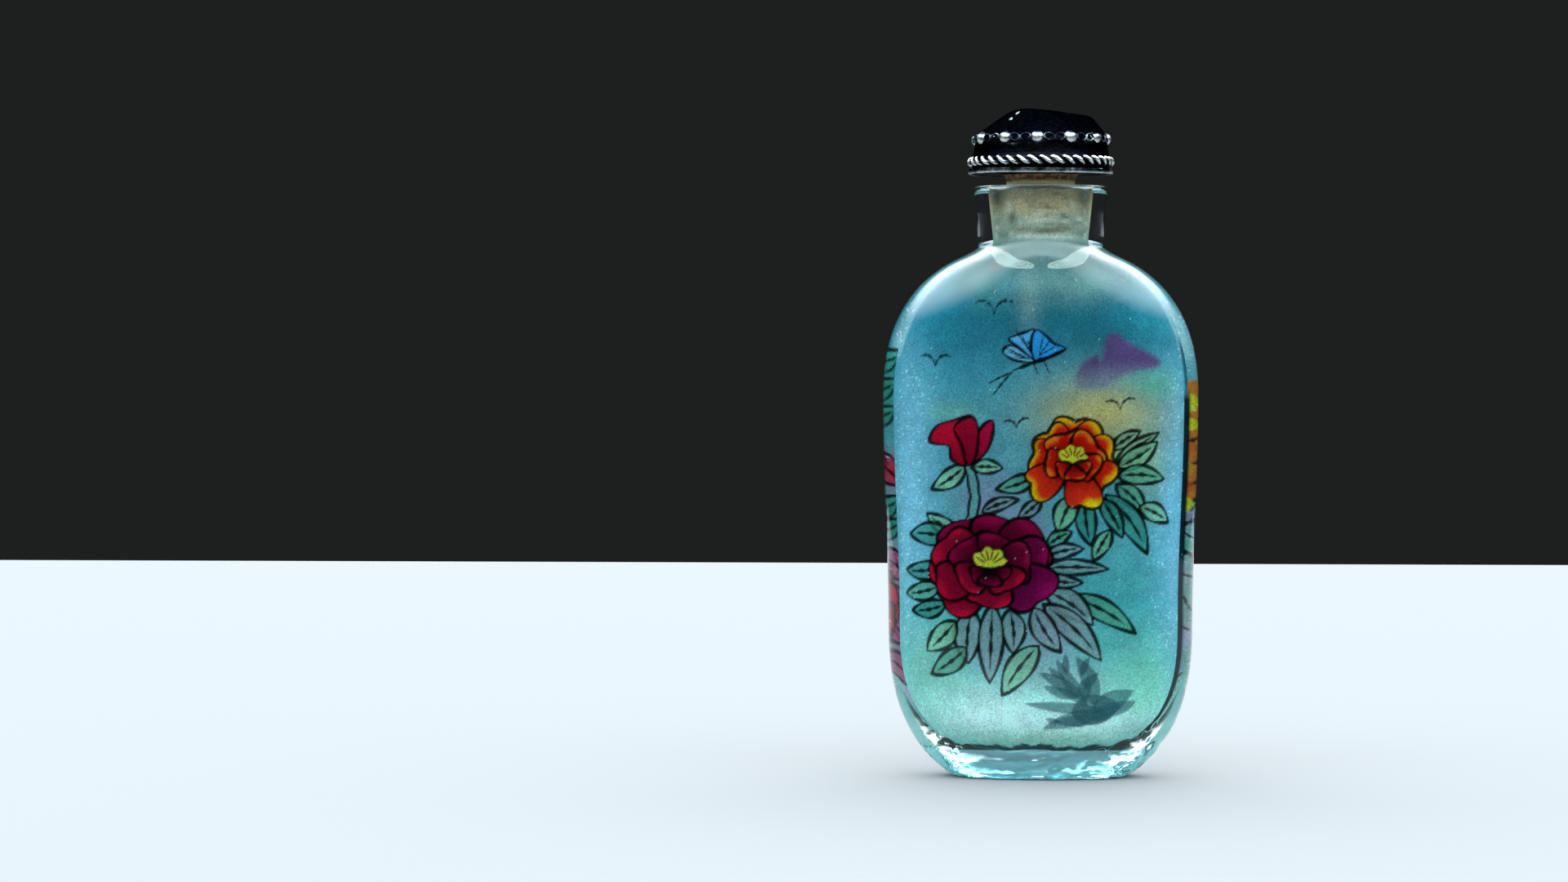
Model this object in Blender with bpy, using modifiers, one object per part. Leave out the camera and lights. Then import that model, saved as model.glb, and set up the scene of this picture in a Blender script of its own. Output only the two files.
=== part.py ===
"""Snuff bottle: a flattened hollow glass flask with a round neck, and a stopper of cork, plate and cast cap.

Blender 4.5 script, in metres, +Z up. The origin is on the ground under the middle of the foot.
The wide painted faces look along -Y and +Y. Each separate piece of the real bottle is one object.
"""

import math

import bmesh
import bpy

MM = 0.001

# Glass body: its widest part, the slightly narrower part where the lower corners begin, and the foot
BODY_WIDTH = 37.7 * MM
BODY_DEPTH = 18.5 * MM
BODY_LOW_WIDTH = 36.4 * MM
FOOT_WIDTH = 21.0 * MM
FOOT_DEPTH = 11.6 * MM
CORNER_HEIGHT = 19.0 * MM
SIDE_HEIGHT = 26.1 * MM
SHOULDER_HEIGHT = 18.6 * MM
SECTION_SQUARENESS = 2.8
FOOT_SQUARENESS = 2.3
SHOULDER_SQUARENESS = 2.4
CORNER_SQUARENESS = 2.5

# Cavity: walls of the body, and the floor above the ground
SIDE_WALL = 3.3 * MM
FACE_WALL = 2.8 * MM
SHOULDER_WALL = 3.0 * MM
FLOOR_LEVEL = 3.8 * MM
CAVITY_CORNER_SQUARENESS = 3.0

# Foot: an oval ring round a shallow recess
FOOT_RING = 3.4 * MM
FOOT_RING_SIDE = 2.4 * MM
RECESS_RISE = 1.3 * MM
FOOT_EDGE = 0.25 * MM

# Neck and its tapered bore
NECK_HEIGHT = 6.9 * MM
NECK_RIM_DIAMETER = 15.95 * MM
NECK_FOOT_DIAMETER = 14.9 * MM
NECK_FILLET = 2.6 * MM
BORE_RIM_DIAMETER = 8.2 * MM
BORE_FOOT_DIAMETER = 7.2 * MM
BORE_FILLET = 2.2 * MM
RIM_EDGE = 0.25 * MM

# Stopper: cork, plate and cap, one above the other
SEAT_GAP = 0.3 * MM
STOPPER_STAND = 1.4 * MM
CORK_HEAD_DIAMETER = 8.3 * MM
CORK_REACH = 3.0 * MM
CORK_EDGE = 0.3 * MM
PLATE_DIAMETER = 17.3 * MM
PLATE_THICKNESS = 0.6 * MM
PLATE_EDGE = 0.15 * MM
CAP_BAND_DIAMETER = 16.1 * MM
CAP_BAND_HEIGHT = 2.6 * MM
CAP_FLARE = 0.35 * MM
CAP_UNDERCUT = 0.2 * MM
DOME_HEIGHT = 4.4 * MM
DOME_SQUARENESS = 2.1
DOME_SKEW = 13.0 * MM
SKEW_TURN = 0.52

# Twisted wire round the cap's edge, and the studs above it
ROPE_DIAMETER = 1.2 * MM
ROPE_OVERHANG = 0.75 * MM
ROPE_TURNS = 19
ROPE_LOBE = 0.16
STUD_DIAMETER = 1.55 * MM
STUD_COUNT = 12
STUD_RISE = 0.7 * MM
STUD_SINK = 1.15 * MM
STUD_TURN = -3.0

# Facets
BODY_FACETS = 48
CAP_FACETS = 48
CORK_FACETS = 32
CORNER_ROWS = 8
SIDE_ROWS = 4
SHOULDER_ROWS = 11
CAVITY_TOP_ROWS = 9
NECK_ROWS = 3
DOME_ROWS = 9
ROPE_STEPS_PER_TURN = 6
ROPE_SIDES = 8
STUD_FACETS = 8
STUD_RINGS = 6
FLAT_SHARE = 0.985

PART_NAME = "snuff_bottle"
MERGE_DISTANCE = 1e-5

BODY_LOW_DEPTH = BODY_DEPTH * BODY_LOW_WIDTH / BODY_WIDTH
WIDEST_LEVEL = CORNER_HEIGHT + SIDE_HEIGHT
SHOULDER_TOP = WIDEST_LEVEL + SHOULDER_HEIGHT
RIM_LEVEL = SHOULDER_TOP + NECK_HEIGHT
CAVITY_TOP = SHOULDER_TOP - SHOULDER_WALL


def blend(start, end, share):
    """A value that eases from start to end as share goes from 0 to 1."""
    share = min(max(share, 0.0), 1.0)
    return start + (end - start) * share * share * (3.0 - 2.0 * share)


def curve_share(share, squareness):
    """Height of a quarter superellipse of size 1 at this share of its width."""
    share = min(max(share, 0.0), 1.0)
    return (1.0 - share**squareness) ** (1.0 / squareness)


def filleted(first, second, fillet):
    """The larger of two sizes, with the change from one to the other rounded off."""
    near = max(fillet - abs(first - second), 0.0) / fillet
    return max(first, second) + near * near * fillet / 4.0


def tapered(level, foot_diameter, rim_diameter):
    """Radius of the neck or its bore, which widens from the shoulder's top to the rim."""
    share = max(level - SHOULDER_TOP, 0.0) / NECK_HEIGHT
    return (foot_diameter + (rim_diameter - foot_diameter) * share) / 2


def neck_radius(level):
    """Outer radius of the neck."""
    return tapered(level, NECK_FOOT_DIAMETER, NECK_RIM_DIAMETER)


def bore_radius(level):
    """Radius of the bore."""
    return tapered(level, BORE_FOOT_DIAMETER, BORE_RIM_DIAMETER)


def side_half(level, full, low):
    """Half the size of the side at a level between the lower corner and the widest level."""
    return blend(low, full, (level - CORNER_HEIGHT) / SIDE_HEIGHT) / 2


def corner_half(level, low, foot):
    """Half the size of the lower corner at a level, from the foot's size at the ground up to the side's."""
    drop = CORNER_HEIGHT / curve_share(foot / low, CORNER_SQUARENESS)
    return low / 2 * curve_share((CORNER_HEIGHT - level) / drop, CORNER_SQUARENESS)


def outer_section(level):
    """Half width, half depth and squareness of the glass's outside at a level."""
    neck = neck_radius(level)
    rise = (level - WIDEST_LEVEL) / SHOULDER_HEIGHT
    if rise > 0.0:
        arch = curve_share(rise, SHOULDER_SQUARENESS)
        wide = filleted(BODY_WIDTH / 2 * arch, neck, NECK_FILLET)
        deep = neck + (BODY_DEPTH / 2 - neck) * arch
        return wide, max(deep, neck), blend(SECTION_SQUARENESS, 2.0, 2.0 * rise - 1.0)
    if level < CORNER_HEIGHT:
        wide = corner_half(level, BODY_LOW_WIDTH, FOOT_WIDTH)
        deep = corner_half(level, BODY_LOW_DEPTH, FOOT_DEPTH)
        return wide, deep, blend(FOOT_SQUARENESS, SECTION_SQUARENESS, level / CORNER_HEIGHT)
    wide = side_half(level, BODY_WIDTH, BODY_LOW_WIDTH)
    return wide, side_half(level, BODY_DEPTH, BODY_LOW_DEPTH), SECTION_SQUARENESS


def inner_section(level):
    """Half width, half depth and squareness of the cavity and bore at a level."""
    bore = bore_radius(level)
    walls = 2 * SIDE_WALL
    faces = 2 * FACE_WALL
    rise = (level - WIDEST_LEVEL) / (CAVITY_TOP - WIDEST_LEVEL)
    if rise > 0.0:
        arch = curve_share(rise, SHOULDER_SQUARENESS)
        wide = filleted((BODY_WIDTH - walls) / 2 * arch, bore, BORE_FILLET)
        deep = bore + ((BODY_DEPTH - faces) / 2 - bore) * arch
        return wide, max(deep, bore), blend(SECTION_SQUARENESS, 2.0, 2.0 * rise - 1.0)
    if level < CORNER_HEIGHT:
        arch = curve_share((CORNER_HEIGHT - level) / (CORNER_HEIGHT - FLOOR_LEVEL), CAVITY_CORNER_SQUARENESS)
        return (BODY_LOW_WIDTH - walls) / 2 * arch, (BODY_LOW_DEPTH - faces) / 2 * arch, SECTION_SQUARENESS
    wide = side_half(level, BODY_WIDTH - walls, BODY_LOW_WIDTH - walls)
    return wide, side_half(level, BODY_DEPTH - faces, BODY_LOW_DEPTH - faces), SECTION_SQUARENESS


def oval(half_width, half_depth, squareness, level, count):
    """Points of a rounded section, anticlockwise seen from above."""
    points = []
    for index in range(count):
        turn = 2 * math.pi * index / count
        across, along = math.cos(turn), math.sin(turn)
        reach = (abs(across) ** squareness + abs(along) ** squareness) ** (-1.0 / squareness)
        points.append((half_width * reach * across, half_depth * reach * along, level))
    return points


def levels_after(start, end, count, dense=""):
    """Levels after start up to end, evenly spaced or closer together at the start or the end."""
    levels = []
    for index in range(1, count + 1):
        share = index / count
        if dense == "start":
            share = 1.0 - math.cos(share * math.pi / 2)
        elif dense == "end":
            share = math.sin(share * math.pi / 2)
        levels.append(start + (end - start) * share)
    return levels


def loft(name, rings):
    """A closed mesh through equal rings, with a flat face over the first ring and the last."""
    shape = bmesh.new()
    rows = [[shape.verts.new(point) for point in ring] for ring in rings]
    count = len(rows[0])
    for lower, upper in zip(rows, rows[1:]):
        for index in range(count):
            after = (index + 1) % count
            shape.faces.new((lower[index], lower[after], upper[after], upper[index]))
    shape.faces.new(reversed(rows[0]))
    shape.faces.new(rows[-1])
    bmesh.ops.recalc_face_normals(shape, faces=shape.faces)
    mesh = bpy.data.meshes.new(name)
    shape.to_mesh(mesh)
    shape.free()
    return mesh


def material(name, colour, roughness, metallic=0.0, transmission=0.0):
    """A Principled material with plain values."""
    made = bpy.data.materials.new(name)
    made.use_nodes = True
    shader = made.node_tree.nodes["Principled BSDF"]
    shader.inputs["Base Color"].default_value = (*colour, 1.0)
    shader.inputs["Roughness"].default_value = roughness
    shader.inputs["Metallic"].default_value = metallic
    shader.inputs["Transmission Weight"].default_value = transmission
    made.diffuse_color = (*colour, 1.0)
    return made


def add_object(name, mesh, finish, collection, smooth_angle=35.0):
    """Links a mesh as a named object with one material, shaded smooth between its sharp edges."""
    mesh.materials.append(finish)
    mesh.shade_smooth()
    mesh.set_sharp_from_angle(angle=math.radians(smooth_angle))
    made = bpy.data.objects.new(name, mesh)
    collection.objects.link(made)
    return made


def turned(name, profile, facets, finish, collection):
    """An object turned about Z from a profile of (radius, level) points that runs down its outer side."""
    mesh = bpy.data.meshes.new(name)
    points = [(radius, 0.0, level) for radius, level in profile]
    edges = [(index, index + 1) for index in range(len(points) - 1)]
    mesh.from_pydata(points, edges, [])
    made = add_object(name, mesh, finish, collection)
    screw = made.modifiers.new("Turn", "SCREW")
    screw.axis = "Z"
    screw.angle = 2 * math.pi
    screw.steps = facets
    screw.render_steps = facets
    screw.use_merge_vertices = True
    screw.merge_threshold = MERGE_DISTANCE
    screw.use_smooth_shade = True
    return made


def glass_bottle(collection):
    """The hollow glass flask: recess, foot, outside, rim, bore and cavity, as one run of sections."""
    foot_wide, foot_deep, foot_square = outer_section(0.0)
    recess_wide, recess_deep = foot_wide - FOOT_RING, foot_deep - FOOT_RING_SIDE
    rings = [
        oval(recess_wide - FOOT_EDGE, recess_deep - FOOT_EDGE, foot_square, RECESS_RISE, BODY_FACETS),
        oval(recess_wide - FOOT_EDGE, recess_deep - FOOT_EDGE, foot_square, FOOT_EDGE, BODY_FACETS),
        oval(recess_wide, recess_deep, foot_square, 0.0, BODY_FACETS),
        oval(foot_wide - FOOT_EDGE, foot_deep - FOOT_EDGE, foot_square, 0.0, BODY_FACETS),
    ]
    outside = [FOOT_EDGE]
    outside += levels_after(FOOT_EDGE, CORNER_HEIGHT, CORNER_ROWS, "start")
    outside += levels_after(CORNER_HEIGHT, WIDEST_LEVEL, SIDE_ROWS)
    outside += levels_after(WIDEST_LEVEL, SHOULDER_TOP, SHOULDER_ROWS, "end")
    outside += levels_after(SHOULDER_TOP, RIM_LEVEL - RIM_EDGE, NECK_ROWS)
    rings += [oval(*outer_section(level), level, BODY_FACETS) for level in outside]
    for radius in (NECK_RIM_DIAMETER / 2 - RIM_EDGE, BORE_RIM_DIAMETER / 2 + RIM_EDGE):
        rings.append(oval(radius, radius, 2.0, RIM_LEVEL, BODY_FACETS))
    floor = CORNER_HEIGHT + (FLOOR_LEVEL - CORNER_HEIGHT) * FLAT_SHARE
    inside = [RIM_LEVEL - RIM_EDGE]
    inside += levels_after(RIM_LEVEL - RIM_EDGE, SHOULDER_TOP, NECK_ROWS)
    inside += levels_after(SHOULDER_TOP, CAVITY_TOP, 1)
    inside += levels_after(CAVITY_TOP, WIDEST_LEVEL, CAVITY_TOP_ROWS, "start")
    inside += levels_after(WIDEST_LEVEL, CORNER_HEIGHT, SIDE_ROWS)
    inside += levels_after(CORNER_HEIGHT, floor, CORNER_ROWS, "end")
    rings += [oval(*inner_section(level), level, BODY_FACETS) for level in inside]
    glass = material("clear_glass", (0.62, 0.86, 0.88), 0.05, transmission=1.0)
    return add_object("glass_bottle", loft("glass_bottle", rings), glass, collection)


def cork(collection):
    """The tapered cork: its head stands above the rim, and its shank keeps a gap to the bore."""
    top = RIM_LEVEL + STOPPER_STAND - SEAT_GAP
    foot = RIM_LEVEL - CORK_REACH
    neck = bore_radius(RIM_LEVEL) - SEAT_GAP
    shank = bore_radius(foot) - SEAT_GAP
    profile = [
        (0.0, top),
        (CORK_HEAD_DIAMETER / 2, top),
        ((CORK_HEAD_DIAMETER / 2 + neck) / 2, (top + RIM_LEVEL) / 2),
        (neck, RIM_LEVEL),
        (shank, foot + CORK_EDGE),
        (shank - CORK_EDGE, foot),
        (0.0, foot),
    ]
    finish = material("cork_bark", (0.42, 0.25, 0.12), 0.9)
    return turned("cork", profile, CORK_FACETS, finish, collection)


def stopper_plate(collection):
    """The thin round plate between the cork and the cap."""
    low = RIM_LEVEL + STOPPER_STAND
    high = low + PLATE_THICKNESS
    radius = PLATE_DIAMETER / 2
    profile = [
        (0.0, high),
        (radius - PLATE_EDGE, high),
        (radius, high - PLATE_EDGE),
        (radius, low + PLATE_EDGE),
        (radius - PLATE_EDGE, low),
        (0.0, low),
    ]
    finish = material("polished_white_metal", (0.62, 0.66, 0.68), 0.25, metallic=1.0)
    return turned("stopper_plate", profile, CAP_FACETS, finish, collection)


def rope_mesh(level, ring_radius):
    """Twisted pair of wires round the cap's edge: a tube whose two-lobed section turns as it goes round."""
    steps = ROPE_TURNS * ROPE_STEPS_PER_TURN
    mean = ROPE_DIAMETER / 2 / (1.0 + ROPE_LOBE)
    shape = bmesh.new()
    rows = []
    for step in range(steps):
        turn = 2 * math.pi * step / steps
        row = []
        for side in range(ROPE_SIDES):
            angle = 2 * math.pi * side / ROPE_SIDES
            radius = mean * (1.0 + ROPE_LOBE * math.cos(2 * (angle + ROPE_TURNS * turn)))
            out = ring_radius + radius * math.cos(angle)
            point = (out * math.cos(turn), out * math.sin(turn), level + radius * math.sin(angle))
            row.append(shape.verts.new(point))
        rows.append(row)
    for step in range(steps):
        here, there = rows[step], rows[(step + 1) % steps]
        for side in range(ROPE_SIDES):
            after = (side + 1) % ROPE_SIDES
            shape.faces.new((here[side], there[side], there[after], here[after]))
    bmesh.ops.recalc_face_normals(shape, faces=shape.faces)
    mesh = bpy.data.meshes.new("rope")
    shape.to_mesh(mesh)
    shape.free()
    return mesh


def dome_ring(share, dome_foot):
    """One ring of the dome, at a share of its height: its top leans to -X and its +X side is fuller."""
    band = CAP_BAND_DIAMETER / 2
    reach = curve_share(share, DOME_SQUARENESS)
    skew = DOME_SKEW * reach**2 * (1.0 - reach) * (reach - SKEW_TURN)
    ring = oval(band * reach, band * reach, 2.0, dome_foot + DOME_HEIGHT * share, CAP_FACETS)
    return [(x, y, level + skew * x / (band * reach)) for x, y, level in ring]


def stopper_cap(collection, helpers):
    """The cast cap: a low dome on a flared band, with a twisted edge and a ring of round studs."""
    low = RIM_LEVEL + STOPPER_STAND + PLATE_THICKNESS + SEAT_GAP
    band, dome_foot = CAP_BAND_DIAMETER / 2, low + CAP_BAND_HEIGHT
    rope_level = low + ROPE_DIAMETER / 2
    rope_ring = band + ROPE_OVERHANG - ROPE_DIAMETER / 2
    profile = [
        (rope_ring, low + CAP_UNDERCUT),
        (rope_ring, rope_level),
        (band + CAP_FLARE, rope_level + ROPE_DIAMETER * 0.3),
        (band + CAP_FLARE * 0.15, (dome_foot + low + ROPE_DIAMETER) / 2),
    ]
    rings = [oval(radius, radius, 2.0, level, CAP_FACETS) for radius, level in profile]
    for share in [0.0] + levels_after(0.0, 1.0, DOME_ROWS, "end")[:-1]:
        rings.append(dome_ring(share, dome_foot))
    finish = material("blackened_white_metal", (0.10, 0.12, 0.15), 0.38, metallic=1.0)
    cap = add_object("stopper_cap", loft("stopper_cap", rings), finish, collection)

    rope = bpy.data.objects.new("rope_edge", rope_mesh(rope_level, rope_ring))
    helpers.objects.link(rope)
    stud_ring = band * curve_share(STUD_RISE / DOME_HEIGHT, DOME_SQUARENESS) + STUD_DIAMETER / 2 - STUD_SINK
    shape = bmesh.new()
    bmesh.ops.create_uvsphere(shape, u_segments=STUD_FACETS, v_segments=STUD_RINGS, radius=STUD_DIAMETER / 2)
    ball = bpy.data.meshes.new("stud")
    shape.to_mesh(ball)
    shape.free()
    for index in range(STUD_COUNT):
        turn = math.radians(STUD_TURN) + 2 * math.pi * index / STUD_COUNT
        stud = bpy.data.objects.new(f"stud_{index + 1:02d}", ball)
        stud.location = (stud_ring * math.cos(turn), stud_ring * math.sin(turn), dome_foot + STUD_RISE)
        stud.rotation_euler = (0.0, 0.0, turn)
        helpers.objects.link(stud)
    for helper in helpers.objects:
        helper.hide_render = True
        helper.display_type = "WIRE"
    union = cap.modifiers.new("Ornaments", "BOOLEAN")
    union.operation = "UNION"
    union.operand_type = "COLLECTION"
    union.collection = helpers
    union.solver = "EXACT"
    return cap


def main():
    """Builds the four pieces in a collection named for the object."""
    for old in list(bpy.data.objects):
        bpy.data.objects.remove(old, do_unlink=True)
    parts = bpy.data.collections.new(PART_NAME)
    helpers = bpy.data.collections.new("cap_ornaments")
    bpy.context.scene.collection.children.link(parts)
    bpy.context.scene.collection.children.link(helpers)
    glass_bottle(parts)
    cork(parts)
    stopper_plate(parts)
    stopper_cap(parts, helpers)


main()
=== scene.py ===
"""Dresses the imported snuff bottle: clear and ground glass, the inside painting, cork and cast cap."""

import logging
import math
from dataclasses import dataclass, field
from enum import Enum
from typing import Any, Callable, Sequence

import bpy
import numpy as np
from mathutils import Matrix, Vector, noise


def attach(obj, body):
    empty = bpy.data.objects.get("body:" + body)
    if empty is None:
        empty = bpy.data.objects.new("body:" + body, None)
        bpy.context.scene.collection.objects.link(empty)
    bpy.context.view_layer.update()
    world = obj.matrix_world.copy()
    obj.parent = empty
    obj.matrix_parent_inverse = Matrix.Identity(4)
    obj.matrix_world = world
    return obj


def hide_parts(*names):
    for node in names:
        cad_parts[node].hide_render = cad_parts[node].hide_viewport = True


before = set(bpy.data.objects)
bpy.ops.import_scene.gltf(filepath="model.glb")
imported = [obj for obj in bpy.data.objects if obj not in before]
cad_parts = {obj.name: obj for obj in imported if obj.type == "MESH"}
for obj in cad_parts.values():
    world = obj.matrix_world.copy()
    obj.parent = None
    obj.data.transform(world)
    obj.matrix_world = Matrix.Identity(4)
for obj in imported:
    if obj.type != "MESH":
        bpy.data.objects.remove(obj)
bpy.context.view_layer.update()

LOG = logging.getLogger("snuff_bottle")
MM = 0.001
ROOT = "root"
MERGE = 0.001 * MM

Colour = tuple[float, float, float]
Pair = tuple[float, float]
Section = tuple[float, float, float]
Placer = Callable[[np.ndarray, np.ndarray], np.ndarray]


def linear(hex_colour: str) -> Colour:
    """Turns an sRGB hex colour to linear values.

    Args:
        hex_colour: Six hex digits, with or without a leading hash.

    Returns:
        Linear red, green and blue.
    """
    digits = hex_colour.lstrip("#")
    parts = [int(digits[place:place + 2], 16) / 255 for place in (0, 2, 4)]
    red, green, blue = (
        part / 12.92 if part <= 0.04045 else ((part + 0.055) / 1.055) ** 2.4 for part in parts
    )
    return red, green, blue


def per_mm(size_mm: float) -> float:
    """Scale of a pattern whose features are this many millimetres wide, for Object coordinates in metres."""
    return 1.0 / (size_mm * MM)


def smooth(low: float, high: float, value: Any) -> Any:
    """Eases from 0 at low to 1 at high.

    Args:
        low: Where the result is 0.
        high: Where the result is 1.
        value: A number or an array.

    Returns:
        The eased share, of the same kind as value.
    """
    share = np.clip((value - low) / (high - low), 0.0, 1.0)
    return share * share * (3.0 - 2.0 * share)


def add_node(tree: bpy.types.NodeTree, kind: str, settings: dict[str, Any],
             inputs: dict[Any, Any]) -> Any:
    """Adds a node with its settings and its inputs.

    Args:
        tree: The node tree.
        kind: The node's type name.
        settings: Attribute values.
        inputs: Socket name or number to a value or to the output that feeds it.

    Returns:
        The new node.
    """
    made = tree.nodes.new(kind)
    for name, value in settings.items():
        setattr(made, name, value)
    for key, value in inputs.items():
        if isinstance(value, bpy.types.NodeSocket):
            tree.links.new(value, made.inputs[key])
        else:
            made.inputs[key].default_value = value
    return made


def start_material(name: str, values: dict[str, Any]) -> tuple[bpy.types.Material, bpy.types.NodeTree, Any]:
    """Starts a material with one Principled shader.

    Args:
        name: The material's name.
        values: Socket name to a value that is the same all over.

    Returns:
        The material, its node tree and the shader.
    """
    made = bpy.data.materials.new(name)
    made.use_nodes = True
    tree = made.node_tree
    shader = tree.nodes["Principled BSDF"]
    for socket, value in values.items():
        shader.inputs[socket].default_value = value
    return made, tree, shader


def set_stops(ramp: Any, stops: Sequence[tuple[float, str]]) -> None:
    """Sets a colour ramp's places and hex colours.

    Args:
        ramp: The colour ramp node.
        stops: Place and hex colour of each stop.
    """
    elements = ramp.color_ramp.elements
    while len(elements) < len(stops):
        elements.new(0.5)
    for element, (place, hex_colour) in zip(elements, stops):
        element.position = place
        element.color = (*linear(hex_colour), 1.0)


@dataclass(frozen=True)
class SodaLimeGlass:
    """A finish of the flask's one soda-lime glass, all of it plain values."""

    name: str
    tint: str
    roughness: float
    clearness: float = 1.0
    mirror: str = "#FFFFFF"
    ior: float = 1.5

    def make(self) -> bpy.types.Material:
        """Returns the glass."""
        values = {
            "Base Color": (*linear(self.tint), 1.0), "Roughness": self.roughness, "IOR": self.ior,
            "Specular Tint": (*linear(self.mirror), 1.0), "Transmission Weight": self.clearness,
        }
        return start_material(self.name, values)[0]


# Blown, then ground and polished outside: it is colourless with a faint cold cast, and mirrors sharply. The
# mirror is held back, because the light from above would veil the painting on the shoulders.
POLISHED_GLASS = SodaLimeGlass("polished_soda_lime_glass", "#EEFAFC", 0.01, mirror="#BCC6CB")
# Ground inside with wet grit: it scatters softly and lets paint stick.
GROUND_GLASS = SodaLimeGlass("ground_soda_lime_glass", "#D3E4DA", 0.25, 0.86)
# The solid foot: light goes a long way through it, which gives it its blue-green. Seeds, folds and chips from
# the mould scatter a share of the light, so it glows where it is thick.
FOOT_GLASS = SodaLimeGlass("thick_soda_lime_glass", "#9BE8F4", 0.08, 0.70)


@dataclass(frozen=True)
class InsidePaint:
    """Watercolour, laid on the ground inner wall with a bent brush.

    It sinks into the grit's scratches and touches the glass, so it looks matt and speckled, without a gloss.
    The real grit is finer than a tenth of a millimetre. It is drawn about twice as coarse, so that it shows.
    The wider mottling is the wash's uneven thickness.
    """

    grit_mm: float = 0.2
    grit_contrast: float = 0.32
    mottle_mm: float = 2.4
    mottle_contrast: float = 0.14
    noise_span: Pair = (0.25, 0.75)
    roughness: float = 0.85

    def make(self) -> bpy.types.Material:
        """Builds the paint from the painted attribute.

        Returns:
            The material: the picture's colours, made lighter and darker by grit and mottling.
        """
        values = {"Roughness": self.roughness, "Specular IOR Level": 0.0}
        made, tree, shader = start_material("watercolour_on_ground_glass", values)
        where = add_node(tree, "ShaderNodeTexCoord", {}, {}).outputs["Object"]
        picture = add_node(tree, "ShaderNodeAttribute", {"attribute_name": "paint"}, {}).outputs["Color"]
        low, high = self.noise_span
        for size, contrast in ((self.grit_mm, self.grit_contrast), (self.mottle_mm, self.mottle_contrast)):
            pattern = {"Vector": where, "Scale": per_mm(size), "Detail": 2.0}
            grain = add_node(tree, "ShaderNodeTexNoise", {}, pattern).outputs["Fac"]
            span = {"Value": grain, "From Min": low, "From Max": high, "To Min": 1.0 - contrast,
                    "To Max": 1.0 + contrast}
            level = add_node(tree, "ShaderNodeMapRange", {}, span).outputs["Result"]
            scaling = {0: picture, "Scale": level}
            scaled = add_node(tree, "ShaderNodeVectorMath", {"operation": "SCALE"}, scaling)
            picture = scaled.outputs["Vector"]
        tree.links.new(picture, shader.inputs["Base Color"])
        return made


@dataclass(frozen=True)
class CorkBark:
    """Natural cork, punched from bark and filed to a taper.

    The cut opens its pores and tears its grain, so it looks matt brown with dark pits and pale crumbs. Low
    down, glue has dried on it as a pale crust with a ragged edge.
    """

    grain_mm: float = 0.5
    crumb_depth_mm: float = 0.15
    pore_mm: float = 0.6
    pore_span: Pair = (0.12, 0.30)
    pore_dark: float = 0.45
    glue: str = "#EAD6AC"
    glue_share: float = 0.85
    glue_edge_mm: Pair = (0.35, 0.60)
    glue_ragged_mm: float = 0.9
    roughness: float = 0.85
    tones: tuple[tuple[float, str], ...] = (
        (0.34, "#2E1A0D"), (0.47, "#7A4C28"), (0.58, "#B98550"), (0.70, "#E2BF8A"),
    )

    def make(self, glue_level: float) -> bpy.types.Material:
        """Builds the cork.

        Args:
            glue_level: Height in metres below which dried glue whitens the cork.

        Returns:
            The material.
        """
        made, tree, shader = start_material("natural_cork", {"Roughness": self.roughness})
        where = add_node(tree, "ShaderNodeTexCoord", {}, {}).outputs["Object"]
        height = add_node(tree, "ShaderNodeSeparateXYZ", {}, {"Vector": where}).outputs["Z"]
        pattern = {"Vector": where, "Scale": per_mm(self.grain_mm), "Detail": 6.0, "Roughness": 0.7}
        grain = add_node(tree, "ShaderNodeTexNoise", {}, pattern).outputs["Fac"]
        bark = add_node(tree, "ShaderNodeValToRGB", {}, {"Fac": grain})
        set_stops(bark, self.tones)
        cells = {"Vector": where, "Scale": per_mm(self.pore_mm)}
        pores = add_node(tree, "ShaderNodeTexVoronoi", {"feature": "F1"}, cells).outputs["Distance"]
        low, high = self.pore_span
        span = {"Value": pores, "From Min": low, "From Max": high, "To Min": self.pore_dark}
        open_pore = add_node(tree, "ShaderNodeMapRange", {}, span).outputs["Result"]
        scaling = {0: bark.outputs["Color"], "Scale": open_pore}
        dark = add_node(tree, "ShaderNodeVectorMath", {"operation": "SCALE"}, scaling).outputs["Vector"]
        lifted = {0: grain, 1: self.glue_ragged_mm * MM, 2: height}
        ragged = add_node(tree, "ShaderNodeMath", {"operation": "MULTIPLY_ADD"}, lifted).outputs["Value"]
        low, high = (glue_level + edge * MM for edge in self.glue_edge_mm)
        span = {"Value": ragged, "From Min": low, "From Max": high, "To Min": self.glue_share, "To Max": 0.0}
        crust = add_node(tree, "ShaderNodeMapRange", {}, span).outputs["Result"]
        layers = {0: crust, 6: dark, 7: (*linear(self.glue), 1.0)}
        mix = add_node(tree, "ShaderNodeMix", {"data_type": "RGBA"}, layers)
        tree.links.new(mix.outputs[2], shader.inputs["Base Color"])
        crumbs = {"Height": grain, "Distance": self.crumb_depth_mm * MM, "Strength": 0.9}
        relief = add_node(tree, "ShaderNodeBump", {}, crumbs)
        tree.links.new(relief.outputs["Normal"], shader.inputs["Normal"])
        return made


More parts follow.
